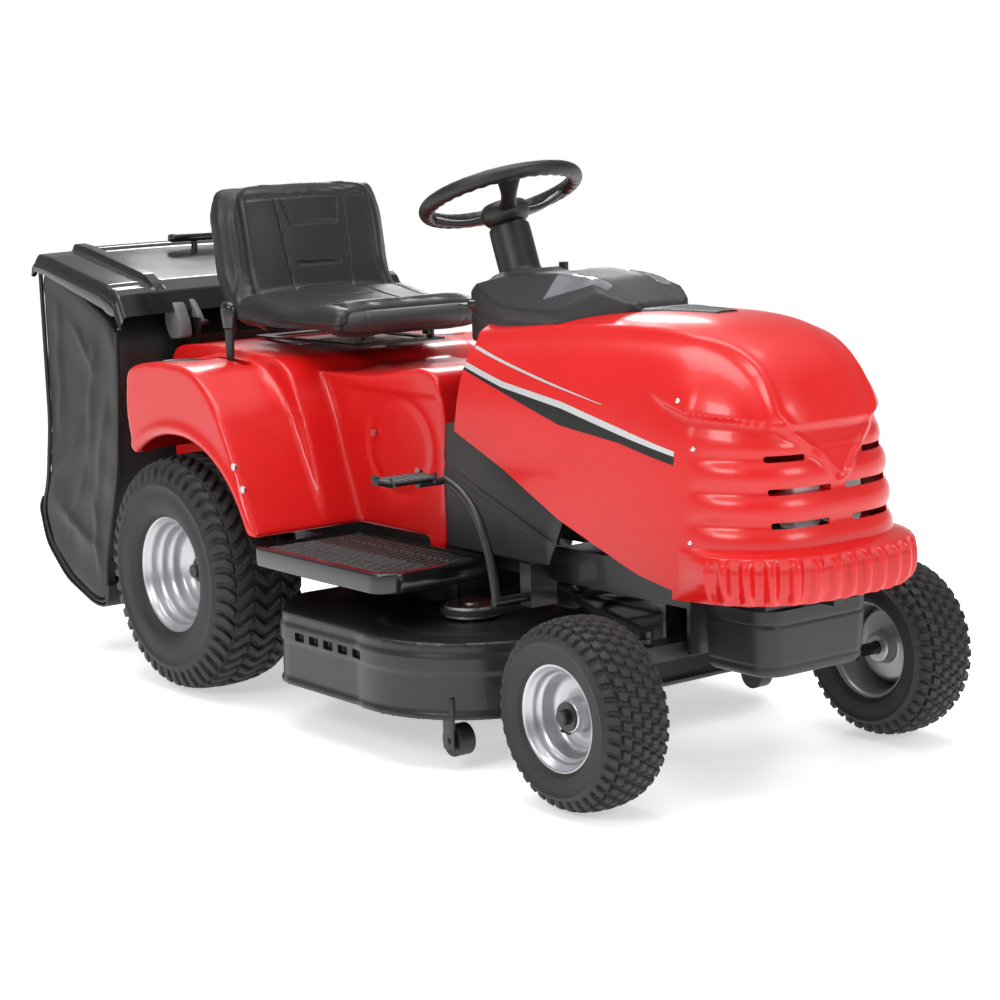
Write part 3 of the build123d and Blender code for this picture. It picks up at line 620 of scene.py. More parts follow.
def lip_surface():
    """Bumper lip round the bonnet's lower front edge, with finger ribs hanging over it."""
    outline = np.array([column[0] for column in bonnet_columns() if column[0][0] > 1.245])
    outline = resample(outline, 640)
    steps = np.linalg.norm(np.diff(outline, axis=0), axis=1)
    length = np.concatenate([[0], np.cumsum(steps)])
    tangent = np.gradient(outline, axis=0)
    tangent /= np.linalg.norm(tangent, axis=1)[:, None]
    outward = np.column_stack([tangent[:, 1], -tangent[:, 0]])
    total = length[-1]
    section = resample([(-0.012, 0.430), (0.000, 0.424), (0.014, 0.420), (0.027, 0.415), (0.034, 0.404),
        (0.036, 0.390), (0.035, 0.372), (0.031, 0.356), (0.024, 0.345), (0.014, 0.338), (0.002, 0.336),
        (-0.012, 0.338)], 60)
    pitch = 0.0335
    rows = []
    for p, n, s in zip(outline, outward, length):
        near_end = min(s, total - s)
        ramp = smooth(0.0, 0.12, near_end)
        phase = abs(((s - total / 2) / pitch) % 1 - 0.5) * 2
        groove = smooth(0.10, 0.75, phase) * smooth(0.06, 0.12, near_end)
        row = []
        for out, z in section:
            scoop = groove * smooth(0.420, 0.396, z) * smooth(0.330, 0.350, z)
            reach = out * (ramp if out > 0 else 1) - 0.0125 * scoop
            lean = LEAN * (z - 0.34) * (1 - 0.5 * ramp)
            inward = lean * np.array(((p[0] - NOSE_X), p[1]))
            row.append((p[0] + n[0] * reach - inward[0], p[1] + n[1] * reach - inward[1], z))
        rows.append(row)
    return np.array(rows)


def along_side(points, width_low, width_high, tree, lift):
    """Strip laid on the bonnet's right side between two height curves of x."""
    xs = np.linspace(points[0], points[1], 90)
    rows = []
    for x in xs:
        low, high = width_low(x), width_high(x)
        row = []
        for z in np.linspace(low, high, 9):
            hit = tree.ray_cast(Vector((x, -0.5, z)), Vector((0, 1, 0)))
            row.append(np.array(hit[0]) + np.array(hit[1]) * lift * (1 if hit[1].y < 0 else -1))
        rows.append(row)
    return np.array(rows)


def make_bonnet():
    skin = raw("bonnet_skin", grid(bonnet_surface()))
    thicken(skin, 0.003)
    form = bmesh.new()
    form.from_mesh(skin.data)
    bmesh.ops.remove_doubles(form, verts=form.verts, dist=1e-5)
    form.to_mesh(skin.data)
    form.free()
    slots = []
    for level, inner in SLOTS:
        for hand in (-1, 1):
            tall = 0.0052
            shape = rounded([(hand * inner, level - tall), (hand * SLOT_END, level - tall),
                (hand * SLOT_END, level + tall), (hand * inner, level + tall)], 0.004)
            slots.append(prism(shape, 1.30, 1.55, "x"))
    boolean(skin, joined(slots))
    opening = [(0.60, -0.101), (0.700, -0.127), (0.862, -0.131), (1.0, -0.064), (1.152, -0.027),
        (1.152, 0.027), (1.0, 0.064), (0.862, 0.131), (0.700, 0.127), (0.60, 0.101)]
    boolean(skin, prism(opening, 0.70, 0.90, "z"))
    shift_into_frame(skin)
    finish_piece(skin, RED, "bonnet", ("bonnet_shell",), 32)

    lip = grid(lip_surface())
    piece("bonnet_lip", *lip, RED, "bonnet", "red_panel", smooth_angle=50)

    graph_points = coordinates(skin)
    graph_points[:, 0] -= AXLE_X
    faces = [list(f.vertices) for f in skin.data.polygons]
    tree = BVHTree.FromPolygons([tuple(p) for p in graph_points], faces)
    upper = ((0.657, 0.781, 0.956, 1.114, 1.238), (0.678, 0.653, 0.632, 0.601, 0.574))
    middle = ((0.657, 0.781, 0.956, 1.114, 1.238), (0.669, 0.643, 0.621, 0.590, 0.566))
    lower = ((0.657, 0.781, 0.956, 1.114, 1.238), (0.665, 0.636, 0.593, 0.577, 0.552))
    for name, high, low, surface, lift in (("side_band_silver", upper, middle, SILVER_FILM, 0.0006),
            ("side_band_black", middle, lower, BLACK_FILM, 0.0006)):
        for side_name, hand in SIDES.items():
            strip = along_side((0.657, 1.238), lambda x: np.interp(x, *low), lambda x: np.interp(x, *high),
                tree, lift)
            if hand > 0:
                strip = strip * np.array((1, -1, 1))
            piece(f"{name}_{side_name}", *grid(strip), surface, "bonnet", "red_panel")
    # Thin silver strip along each shoulder above the stripes: a painted highlight where light catches the
    # shoulder, laid on as a film.
    highlight_top = ((0.66, 0.90, 1.06), (0.7060, 0.6640, 0.6360))
    highlight_bottom = ((0.66, 0.90, 1.06), (0.7010, 0.6600, 0.6350))
    for side_name, hand in SIDES.items():
        strip = along_side((0.66, 1.06), lambda x: np.interp(x, *highlight_bottom),
            lambda x: np.interp(x, *highlight_top), tree, 0.0006)
        if hand > 0:
            strip = strip * np.array((1, -1, 1))
        piece(f"shoulder_highlight_line_{side_name}", *grid(strip), SILVER_FILM, "bonnet", "red_panel")

    heads = []
    for x, z in ((1.238, 0.655), (1.271, 0.580), (1.276, 0.430)):
        hit = tree.ray_cast(Vector((x, -0.5, z)), Vector((0, 1, 0)))
        centre = np.array(hit[0])
        dome = [(0.0, 0.0028), (0.0022, 0.0026), (0.0040, 0.0016), (0.0048, 0.0), (0.0048, -0.002),
            (0.0, -0.002)]
        for hand in (-1, 1):
            spot = centre * np.array((1, -hand, 1))
            heads.append(revolve(dome, spot, (0, hand, 0), 16))
    piece("bonnet_screws", *joined(heads), BRIGHT, "bonnet", "bright_steel")

    lenses = []
    for hand in (-1, 1):
        outline = rounded([(hand * 0.016, 0.446), (hand * 0.078, 0.446), (hand * 0.078, 0.536),
            (hand * 0.016, 0.536)], 0.012)
        lenses.append(bevelled(prism(outline, 1.345, 1.383, "x"), 0.006, 3))
    piece("lamp_lenses", *joined(lenses), LAMP, "bonnet", "lamp", ("headlamps",), 40)

    tongue = []
    for x in np.linspace(1.000, 1.150, 40):
        half = np.interp(x, (1.0, 1.152), (0.064, 0.0275)) - 0.0012
        rib = 0.0016 * (0.5 + 0.5 * math.cos(x / 0.0125 * 2 * math.pi)) * float(smooth(1.01, 1.03,
            x) * smooth(1.145, 1.13, x))
        row = []
        for share in np.linspace(-1, 1, 33):
            y = share * half
            inner = 1 - abs(share) ** 8
            row.append((x, y, 0.7785 + 0.0035 * inner + rib * inner - 0.008 * abs(share) ** 24))
        tongue.append(row)
    slab = raw("bonnet_tongue", grid(np.array(tongue)))
    thicken(slab, 0.004)
    shift_into_frame(slab)
    finish_piece(slab, GREY_PLASTIC, "bonnet", ("bonnet_insert",))


# ---------------------------------------------------------------- wheels
def tyre_profile(radius, width, rim_radius):
    """Half section turned about the axle: (radius, along)."""
    half = width / 2
    corners = [(rim_radius - 0.002, -half * 0.76), (rim_radius + 0.016, -half * 0.97),
        (rim_radius + 0.045, -half), (radius - 0.040, -half * 0.985), (radius - 0.013, -half * 0.88),
        (radius - 0.003, -half * 0.52), (radius, 0.0)]
    right = [(r, -a) for r, a in reversed(corners[:-1])]
    return rounded(corners + right, 0.03, closed=False, steps=12)


def rear_tread(turn, y):
    """Turf pattern: wavy lugs running across, broken by two narrow grooves."""
    wave = 0.30 * np.sin(2 * np.pi * (y / 0.060 + 0.25))
    bar = np.abs((turn * 46 / (2 * np.pi) + wave) % 1 - 0.5) * 2
    lug = smooth(0.68, 0.50, bar)
    cut = smooth(0.0016, 0.0040, np.abs(np.abs(y) - 0.030)) * smooth(0.0016, 0.0040,
        np.abs(np.abs(y) - 0.066))
    return lug * (0.25 + 0.75 * cut)


def front_tread(turn, y):
    """Small staggered blocks."""
    row = np.floor((y + 0.0835) / 0.0186)
    inside = ((y + 0.0835) / 0.0186) % 1 - 0.5
    phase = (turn * 40 / (2 * np.pi) + 0.5 * (row % 2) + 0.22 * inside) % 1 - 0.5
    return smooth(0.36, 0.25, np.abs(phase)) * smooth(0.43, 0.32, np.abs(inside))


def make_tyre(name, x, y, radius, width, rim_radius, tread, depth, body, steps):
    section = resample(tyre_profile(radius - 0.0005, width, rim_radius), 150)
    turn = np.linspace(0, 2 * math.pi, steps, endpoint=False)
    angle, r = np.meshgrid(turn, section[:, 0], indexing="ij")
    along = np.broadcast_to(section[:, 1], angle.shape)
    half = width / 2
    across = np.abs(along) / half
    zone = smooth(rim_radius + (radius - rim_radius) * 0.60, rim_radius + (radius - rim_radius) * 0.72, r)
    lugs = tread(angle, along)
    slope = np.gradient(section, axis=0)
    slope /= np.linalg.norm(slope, axis=1)[:, None]
    out_r, out_a = np.broadcast_to(-slope[:, 1], r.shape) * -1, np.broadcast_to(slope[:, 0], r.shape) * -1
    relief = -depth * (1 - lugs) * zone
    mid = rim_radius + (radius - rim_radius) * 0.55
    relief = relief + 0.0022 * bump(r, mid, 0.0045) - 0.0012 * bump(r, mid - 0.016, 0.010) * (across > 0.7)
    relief = relief + 0.0015 * bump(r, rim_radius + 0.010, 0.003)
    r2, a2 = r + out_r * relief, along + out_a * relief
    points = np.stack([x + r2 * np.cos(angle), y + a2, radius + r2 * np.sin(angle)], -1)
    inner = [(rim_radius - 0.001, half * 0.70), (rim_radius - 0.001, -half * 0.70)]
    inner_rows = np.stack([np.stack([x + q * np.cos(turn), np.full(steps, y + a),
        radius + q * np.sin(turn)], -1) for q, a in inner], 1)
    closed = np.concatenate([points, inner_rows], axis=1)
    part = grid(closed, wrap_u=True, wrap_v=True)
    return piece(name + "_tread", *part, TYRE, body, "tyre_rubber", (name,), smooth_angle=38)


REAR_DISH = [(0.1155, 0.070), (0.1165, 0.075), (0.1150, 0.0785), (0.1115, 0.0770), (0.1075, 0.0700),
    (0.1030, 0.0655), (0.1010, 0.0560), (0.0985, 0.0490), (0.0940, 0.0455), (0.0925, 0.0360),
    (0.0895, 0.0290), (0.0850, 0.0255), (0.0835, 0.0150), (0.0800, 0.0070), (0.0700, 0.0010),
    (0.0640, -0.0050), (0.0600, -0.0085), (0.0350, -0.0085), (0.0320, -0.0060), (0.0310, 0.0100),
    (0.0290, 0.0125), (0.0140, 0.0125)]
REAR_BACK = [(0.0140, -0.0180), (0.0600, -0.0180), (0.0830, -0.0060), (0.0900, 0.0200), (0.1000, 0.0400),
    (0.1000, -0.0450), (0.1060, -0.0660), (0.1120, -0.0740), (0.1155, -0.0770), (0.1155, -0.0700)]
FRONT_DISH = [(0.0885, 0.0480), (0.0895, 0.0525), (0.0882, 0.0560), (0.0850, 0.0550), (0.0810, 0.0480),
    (0.0770, 0.0440), (0.0752, 0.0370), (0.0725, 0.0325), (0.0690, 0.0310), (0.0672, 0.0180),
    (0.0640, 0.0080), (0.0580, 0.0030), (0.0420, -0.0010), (0.0330, 0.0020), (0.0290, 0.0050),
    (0.0272, 0.0300), (0.0255, 0.0325), (0.0125, 0.0325)]
FRONT_BACK = [(0.0125, -0.0300), (0.0270, -0.0300), (0.0290, -0.0050), (0.0620, -0.0050), (0.0740, 0.0150),
    (0.0760, 0.0250), (0.0760, -0.0300), (0.0800, -0.0480), (0.0860, -0.0540), (0.0885, -0.0520),
    (0.0885, -0.0450)]


def make_rim(name, x, y, radius, hand, dish, back, body, valve):
    outline = list(rounded(dish, 0.004, closed=False, steps=5)) + list(rounded(back, 0.004, closed=False,
        steps=4))
    section = resample(outline, 190, closed=True)
    part = revolve(section, (x, y, radius), (0, hand, 0), 128)
    quads = grid(part[0].reshape(128, 190, 3), wrap_u=True, wrap_v=True)
    piece(name + "_dish", *quads, WHEEL_SILVER, body, "silver_wheel", (name,), smooth_angle=60)
    dark = []
    cap_r, cap_a = (0.0135, 0.030) if dish is REAR_DISH else (0.0122, 0.046)
    stub = rounded([(0.0, cap_a), (cap_r, cap_a), (cap_r, -0.02), (0.0, -0.02)], 0.002)
    dark.append(revolve(stub, (x, y, radius), (0, hand, 0), 32))
    washer_a = 0.0125 if dish is REAR_DISH else 0.0325
    washer = rounded([(0.012, washer_a + 0.004), (0.024, washer_a + 0.004), (0.024, washer_a - 0.001),
        (0.012, washer_a - 0.001)], 0.001)
    dark.append(revolve(washer, (x, y, radius), (0, hand, 0), 40))
    piece(name + "_hub", *joined(dark), STEEL_BLACK, body, "black_steel")
    where_r, where_a, angle = valve
    spot = (x + where_r * math.cos(angle), y + hand * where_a, radius + where_r * math.sin(angle))
    cup = [(0.0, 0.003), (0.0052, 0.003), (0.0062, 0.0015), (0.0062, -0.003), (0.0, -0.003)]
    stem = [(0.0, 0.020), (0.0026, 0.020), (0.0036, 0.017), (0.0038, 0.004), (0.0, 0.004)]
    lean = (0.35 * -math.cos(angle), hand, 0.35 * -math.sin(angle))
    piece(name + "_valve", *joined([revolve(cup, spot, lean, 20), revolve(stem, spot, lean, 16)]), DARK,
        body, "black_plastic")


def make_wheels():
    for side_name, hand in SIDES.items():
        make_tyre(f"rear_tyre_{side_name}", 0.0, hand * REAR_Y, REAR_RADIUS, REAR_WIDTH, 0.112, rear_tread,
            0.0085, f"rear_{side_name}_wheel", 620)
        make_rim(f"rear_rim_{side_name}", 0.0, hand * REAR_Y, REAR_RADIUS, hand, REAR_DISH, REAR_BACK,
            f"rear_{side_name}_wheel", (0.076, 0.004, -1.05))
        make_tyre(f"front_tyre_{side_name}", WHEELBASE, hand * FRONT_Y, FRONT_RADIUS, FRONT_WIDTH, 0.086,
            front_tread, 0.0070, f"front_{side_name}_wheel", 480)
        make_rim(f"front_rim_{side_name}", WHEELBASE, hand * FRONT_Y, FRONT_RADIUS, hand, FRONT_DISH,
            FRONT_BACK, f"front_{side_name}_wheel", (0.050, 0.002, -2.35))


make_bonnet()
make_wheels()


# ---------------------------------------------------------------- seat
def seat_frame():
    """Middle line of the seat from the front edge to the top of the back, with thickness and half width."""
    line = rounded([(0.264, 0.7245), (0.060, 0.7245), (-0.070, 0.742), (-0.086, 0.800), (-0.122, 0.985)],
        0.075, closed=False, steps=24)
    line = resample(line, 160)
    share = np.linspace(0, 1, 160)
    upper = np.interp(share, (0, 0.06, 0.25, 0.52, 0.62, 0.80, 1),
        (0.0275, 0.0275, 0.025, 0.020, 0.024, 0.022, 0.016))
    lower = np.interp(share, (0, 0.06, 0.25, 0.50, 0.62, 0.80, 1),
        (0.036, 0.034, 0.020, 0.028, 0.020, 0.018, 0.014))
    half = np.interp(share, (0, 0.06, 0.22, 0.35, 0.55, 0.70, 0.88, 1),
        (0.182, 0.188, 0.196, 0.202, 0.206, 0.210, 0.208, 0.200))
    return line, upper, lower, half


def seat_form():
    """Closed pillow along the seat's line, rounded at its edges and its four corners."""
    line, upper, lower, half = seat_frame()
    tangent = np.gradient(line, axis=0)
    tangent /= np.linalg.norm(tangent, axis=1)[:, None]
    normal = np.column_stack([tangent[:, 1], -tangent[:, 0]])
    share = np.linspace(0, 1, len(line))
    front_round = np.clip(1 - (1 - np.clip(share / 0.034, 0, 1)) ** 2, 0, 1) ** 0.5
    top_round = np.clip(1 - (1 - np.clip((1 - share) / 0.13, 0, 1)) ** 2.4, 0, 1) ** (1 / 2.4)
    end = front_round * top_round
    rows = []
    angles = np.linspace(0, 2 * math.pi, 120, endpoint=False)
    for i in range(len(line)):
        width = half[i] * (0.90 + 0.10 * end[i])
        c, s = np.cos(angles), np.sin(angles)
        y = width * np.sign(c) * np.abs(c) ** 0.42
        thick = np.where(s > 0, upper[i], lower[i]) * (0.35 + 0.65 * min(front_round[i], top_round[i]))
        lift = np.sign(s) * np.abs(s) ** 0.62 * thick
        roll = 0.014 * smooth(0.55, 0.92, np.abs(y) / half[i]) * (s > 0) * smooth(0.10, 0.3, share[i])
        curl = 0.030 * (np.abs(y) / half[i]) ** 3 * smooth(0.50, 0.72, share[i])
        offset = lift + roll + curl
        flip = -1.0
        rows.append(np.column_stack([line[i, 0] - flip * normal[i, 0] * -offset, y,
            line[i, 1] - flip * normal[i, 1] * -offset]))
    rows = np.array(rows)
    part = grid(rows, wrap_v=True)
    last = len(rows) * 120
    return with_caps(part, [range(120), range(last - 120, last)])


def inflate(made, pressure, cap, frames=20):
    """Cloth pressure swells the pad, no point moving further than cap."""
    before = coordinates(made)
    scene = bpy.context.scene
    cloth = made.modifiers.new("fill", "CLOTH")
    cloth.settings.use_pressure = True
    cloth.settings.uniform_pressure_force = pressure
    cloth.settings.effector_weights.gravity = 0
    cloth.settings.tension_stiffness = 15
    cloth.settings.compression_stiffness = 15
    cloth.settings.bending_stiffness = 0.5
    cloth.settings.quality = 5
    cloth.point_cache.frame_start, cloth.point_cache.frame_end = 1, frames
    for number in range(1, frames + 1):
        scene.frame_set(number)
    graph = bpy.context.evaluated_depsgraph_get()
    after = np.array([v.co for v in made.evaluated_get(graph).data.vertices], float)
    made.modifiers.clear()
    scene.frame_set(1)
    change = after - before
    size = np.linalg.norm(change, axis=1)
    change *= np.minimum(1, cap / np.maximum(size, 1e-9))[:, None]
    move_points(made, before + change)


def seat_places(points):
    """Share along the seat's line, side of the line and distance across for each point."""
    line = seat_frame()[0]
    flat = points[:, [0, 2]]
    distance = np.linalg.norm(flat[:, None, :] - line[None, :, :], axis=2)
    nearest = distance.argmin(1)
    tangent = np.gradient(line, axis=0)
    tangent /= np.linalg.norm(tangent, axis=1)[:, None]
    normal = np.column_stack([-tangent[:, 1], tangent[:, 0]])
    above = np.einsum("ij,ij->i", flat - line[nearest], -normal[nearest])
    steps = np.concatenate([[0], np.cumsum(np.linalg.norm(np.diff(line, axis=0), axis=1))])
    return steps[nearest], above, np.abs(points[:, 1]), steps[-1]


def make_seat():
    pad = remeshed(raw("seat_pad", seat_form()), 0.0055, 4)
    inflate(pad, 4.0, 0.006)
    detail = pad.modifiers.new("fine", "SUBSURF")
    detail.levels = detail.render_levels = 1
    evaluated(pad)
    points, up = coordinates(pad), normals(pad)
    along, above, across, total = seat_places(points)
    top = smooth(-0.004, 0.004, above)
    back = smooth(total * 0.44, total * 0.50, along)
    inner = np.interp(along, (0, total * 0.2, total * 0.45, total * 0.62, total),
        (0.146, 0.154, 0.160, 0.158, 0.156))
    frame_line = bump(across, inner, 0.0045) * smooth(total * 0.02, total * 0.06, along) * smooth(total,
        total * 0.95, along)
    frame_line = np.maximum(frame_line, bump(along, total * 0.945, 0.0045) * smooth(0.150, 0.142, across))
    flare = np.interp(along, (total * 0.45, total * 0.60, total), (0.074, 0.070, 0.086))
    seams = bump(across, flare, 0.0026) * back * smooth(total * 0.94, total * 0.92, along)
    seams = np.maximum(seams, bump(across, 0.078, 0.0026) * (1 - back) * smooth(0.05, 0.07, along))
    head_low = total * 0.845
    head = bump(along, head_low, 0.0030) * smooth(0.060, 0.055, across)
    head = np.maximum(head, bump(across, np.interp(along, (head_low, total * 0.94), (0.055, 0.069)),
        0.0028) * smooth(head_low - 0.004, head_low, along) * smooth(total * 0.94, total * 0.92, along))
    rows = np.zeros(len(points))
    for share in (0.700, 0.585, 0.40, 0.27):
        rows = np.maximum(rows, bump(along, total * share, 0.0042) * smooth(0.058, 0.050, across))
    puff = 0.0035 * smooth(0.0, 1.0, np.cos(np.clip(across / 0.075, 0, 1.5) * 1.3)) * back
    dent = top * (-0.0042 * frame_line - 0.0040 * seams - 0.0042 * head - 0.0036 * rows + puff)
    bolster = top * 0.0045 * bump(across, inner + 0.018, 0.014)
    welt = 0.0028 * bump(above, -0.002, 0.0030) * (1 - top * 0)
    points += up * (dent + bolster + welt)[:, None]
    creases = wave_noise(points, 5, 0.16) * 0.0007
    points += up * creases[:, None]
    points[:, 2] = np.where((above < -0.010) & (along > 0.045) & (along < total * 0.42),
        np.maximum(points[:, 2], 0.7078), points[:, 2])
    move_points(pad, points)
    shift_into_frame(pad)
    finish_piece(pad, VINYL, "seat", ("seat_cushion",), 60)

    rows = []
    for y in np.linspace(-0.166, 0.166, 90):
        edge = abs(y) / 0.166
        curve = 0.016 * edge ** 4
        row = []
        for share in np.linspace(0, 1, 14):
            angle = -1.15 + 2.2 * share
            reach = 0.0262 + 0.0034 * math.sin(math.pi * share) - 0.0015 * bump(abs(y), 0.118, 0.0025)
            row.append((0.2475 - curve + reach * math.cos(angle), y,
                0.7245 + 0.90 * reach * math.sin(angle)))
        rows.append(row)
    band = raw("seat_front_band", grid(np.array(rows)))
    thicken(band, 0.003)
    shift_into_frame(band)
    finish_piece(band, BAND, "seat", smooth_angle=60)


# ---------------------------------------------------------------- grass collector
BAG_OUTLINE = [(-0.300, 0.664), (-0.303, 0.575), (-0.322, 0.400), (-0.392, 0.190), (-0.388, 0.112),
    (-0.440, 0.108), (-0.560, 0.150), (-0.640, 0.215), (-0.664, 0.286), (-0.634, 0.345), (-0.610, 0.480),
    (-0.616, 0.806), (-0.575, 0.820), (-0.330, 0.712)]


def make_bag():
    outer = rounded(BAG_OUTLINE, 0.030)
    inner = np.array(BAG_OUTLINE)
    middle = inner.mean(0)
    inner = middle + (inner - middle) * 0.93
    bag = raw("collector_cloth", prism(outer, -0.352, 0.352))
    boolean(bag, prism(inner, -0.334, 0.334))
    boolean(bag, bevelled(block((-0.40, -0.140, 0.385), (-0.280, 0.140, 0.560)), 0.02))
    remeshed(bag, 0.0075, 8)
    detail = bag.modifiers.new("fine", "SUBSURF")
    detail.levels = detail.render_levels = 1
    evaluated(bag)
    points, out = coordinates(bag), normals(bag)
    x, y, z = points.T
    side = smooth(0.80, 0.97, np.abs(out[:, 1])) * smooth(0.340, 0.347, np.abs(y))
    middle = np.clip(1 - ((x + 0.47) / 0.17) ** 2, 0, 1) * np.clip(1 - ((z - 0.46) / 0.34) ** 2, 0, 1)
    sag = -0.010 * middle
    folds = np.zeros(len(points))
    for x0, z0, x1, z1, wide, tall in ((-0.40, 0.66, -0.46, 0.42, 0.018, 0.0060),
            (-0.36, 0.55, -0.44, 0.30, 0.016, 0.0050), (-0.62, 0.34, -0.45, 0.50, 0.014, 0.0055),
            (-0.60, 0.29, -0.42, 0.22, 0.016, 0.0050), (-0.55, 0.74, -0.57, 0.45, 0.016, 0.0045),
            (-0.50, 0.70, -0.40, 0.60, 0.012, 0.0035), (-0.56, 0.24, -0.48, 0.38, 0.012, 0.0040),
            (-0.42, 0.17, -0.44, 0.33, 0.012, 0.0040)):
        direction = np.array((x1 - x0, z1 - z0))
        length = np.linalg.norm(direction)
        direction /= length
        rel_x, rel_z = x - x0, z - z0
        t = rel_x * direction[0] + rel_z * direction[1]
        across = rel_x * -direction[1] + rel_z * direction[0]
        folds += tall * bump(across, 0.004 * np.sin(t * 40), wide) * smooth(-0.02, 0.05,
            t) * smooth(length + 0.03, length - 0.05, t)
    points += out * ((sag + folds) * side)[:, None]
    points += out * (wave_noise(points, 11, 0.14) * 0.0016)[:, None]
    move_points(bag, points)
    shift_into_frame(bag)
    finish_piece(bag, CLOTH, "collector", ("collector_bag",), 60)

    front = rounded([(-0.300, 0.690), (-0.303, 0.575), (-0.322, 0.400), (-0.393, 0.190), (-0.390, 0.112),
        (-0.440, 0.108), (-0.560, 0.150), (-0.640, 0.215), (-0.664, 0.286), (-0.634, 0.345),
        (-0.611, 0.480), (-0.617, 0.80)], 0.035, closed=False, steps=10)
    path = resample(front, 150)
    seams = []
    for hand in (-1, 1):
        seams.append(tube([(px, hand * 0.350, pz) for px, pz in path], 0.0048, 10))
    piece("collector_piping", *joined(seams), PLASTIC, "collector", "bag_cloth", smooth_angle=60)
    low = resample(rounded([(-0.376, 0.150), (-0.384, 0.101), (-0.440, 0.1), (-0.563, 0.141),
        (-0.648, 0.210), (-0.672, 0.288), (-0.655, 0.312)], 0.03, closed=False, steps=8), 60)
    rows = [[(px, y, pz) for px, pz in low] for y in np.linspace(-0.357, 0.357, 60)]
    tray = raw("collector_base", grid(np.array(rows)))
    thicken(tray, 0.004)
    shift_into_frame(tray)
    finish_piece(tray, PLASTIC, "collector", smooth_angle=40)


def lid_height(x, y):
    """Top of the lid with its two raised rails and crowned side fields."""
    z = np.interp(x, (-0.632, -0.622, -0.575, -0.330, -0.285, -0.262),
        (0.838, 0.845, 0.840, 0.791, 0.765, 0.722))
    crown = 0.006 * (1 - (abs(y) / 0.36) ** 2)
    rail = 0.0085 * smooth(0.016, 0.011, abs(abs(y) - 0.250)) * smooth(-0.285, -0.300, x)
    field = -0.006 * smooth(0.262, 0.272, abs(y)) * smooth(-0.30, -0.32, x)
    pocket = -0.007 * smooth(0.232, 0.224, abs(y)) * smooth(-0.320, -0.335, x) * smooth(-0.600, -0.588, x)
    edge = -0.020 * smooth(0.345, 0.362, abs(y)) ** 1.5
    return z + crown + rail + field + pocket + edge


def make_lid():
    xs = np.concatenate([np.linspace(-0.630, -0.30, 90), np.linspace(-0.297, -0.262, 22)])
    ys = np.linspace(-0.362, 0.362, 260)
    rows = []
    for x in xs:
        row = [(x, y, float(lid_height(x, y))) for y in ys]
        drop = np.interp(x, (-0.63, -0.30, -0.262), (0.016, 0.030, 0.006))
        first, last = row[0], row[-1]
        row = [(x, -0.360, first[2] - drop), (x, -0.3635, first[2] - drop * 0.5),
            (x, -0.3635, first[2] - 0.004)] + row
        row += [(x, 0.3635, last[2] - 0.004), (x, 0.3635, last[2] - drop * 0.5), (x, 0.360, last[2] - drop)]
        rows.append(row)
    back = [(-0.634, p[1], max(p[2] - 0.032, 0.792)) for p in rows[0]]
    rows = [back] + rows
    lid = raw("collector_cover", grid(np.array(rows)))
    thicken(lid, 0.0035)
    boolean(lid, revolve([(0.0, -0.06), (0.0085, -0.06), (0.0085, 0.06), (0.0, 0.06)], (-0.56, 0, 0.84),
        (0, 0, 1), 24))
    shift_into_frame(lid)
    finish_piece(lid, GLOSS, "collector", ("collector_lid",), 28)
    ears = []
    for hand in (-1, 1):
        outline = rounded([(-0.232, 0.700), (-0.240, 0.716), (-0.268, 0.746), (-0.315, 0.766),
            (-0.300, 0.706), (-0.262, 0.690)], 0.012)
        ears.append(bevelled(prism(outline, hand * 0.177, hand * 0.190), 0.0015, 2))
        outline = rounded([(-0.240, 0.672), (-0.244, 0.704), (-0.264, 0.740), (-0.300, 0.758),
            (-0.306, 0.700), (-0.286, 0.668)], 0.010)
        ears.append(bevelled(prism(outline, hand * 0.204, hand * 0.232), 0.003, 2))
    piece("collector_brackets", *joined(ears), BRACKET, "collector", "dark_grey_plastic", smooth_angle=35)
    grip = [bevelled(block((-0.574, -0.062, 0.850), (-0.546, 0.062, 0.868)), 0.007, 3),
        tube([(-0.56, 0, 0.56), (-0.56, 0, 0.70), (-0.56, 0, 0.856)], 0.007, 16)]
    piece("collector_pull", *joined(grip), GLOSS, "collector_handle", "black_plastic",
        ("collector_handle",), 35)


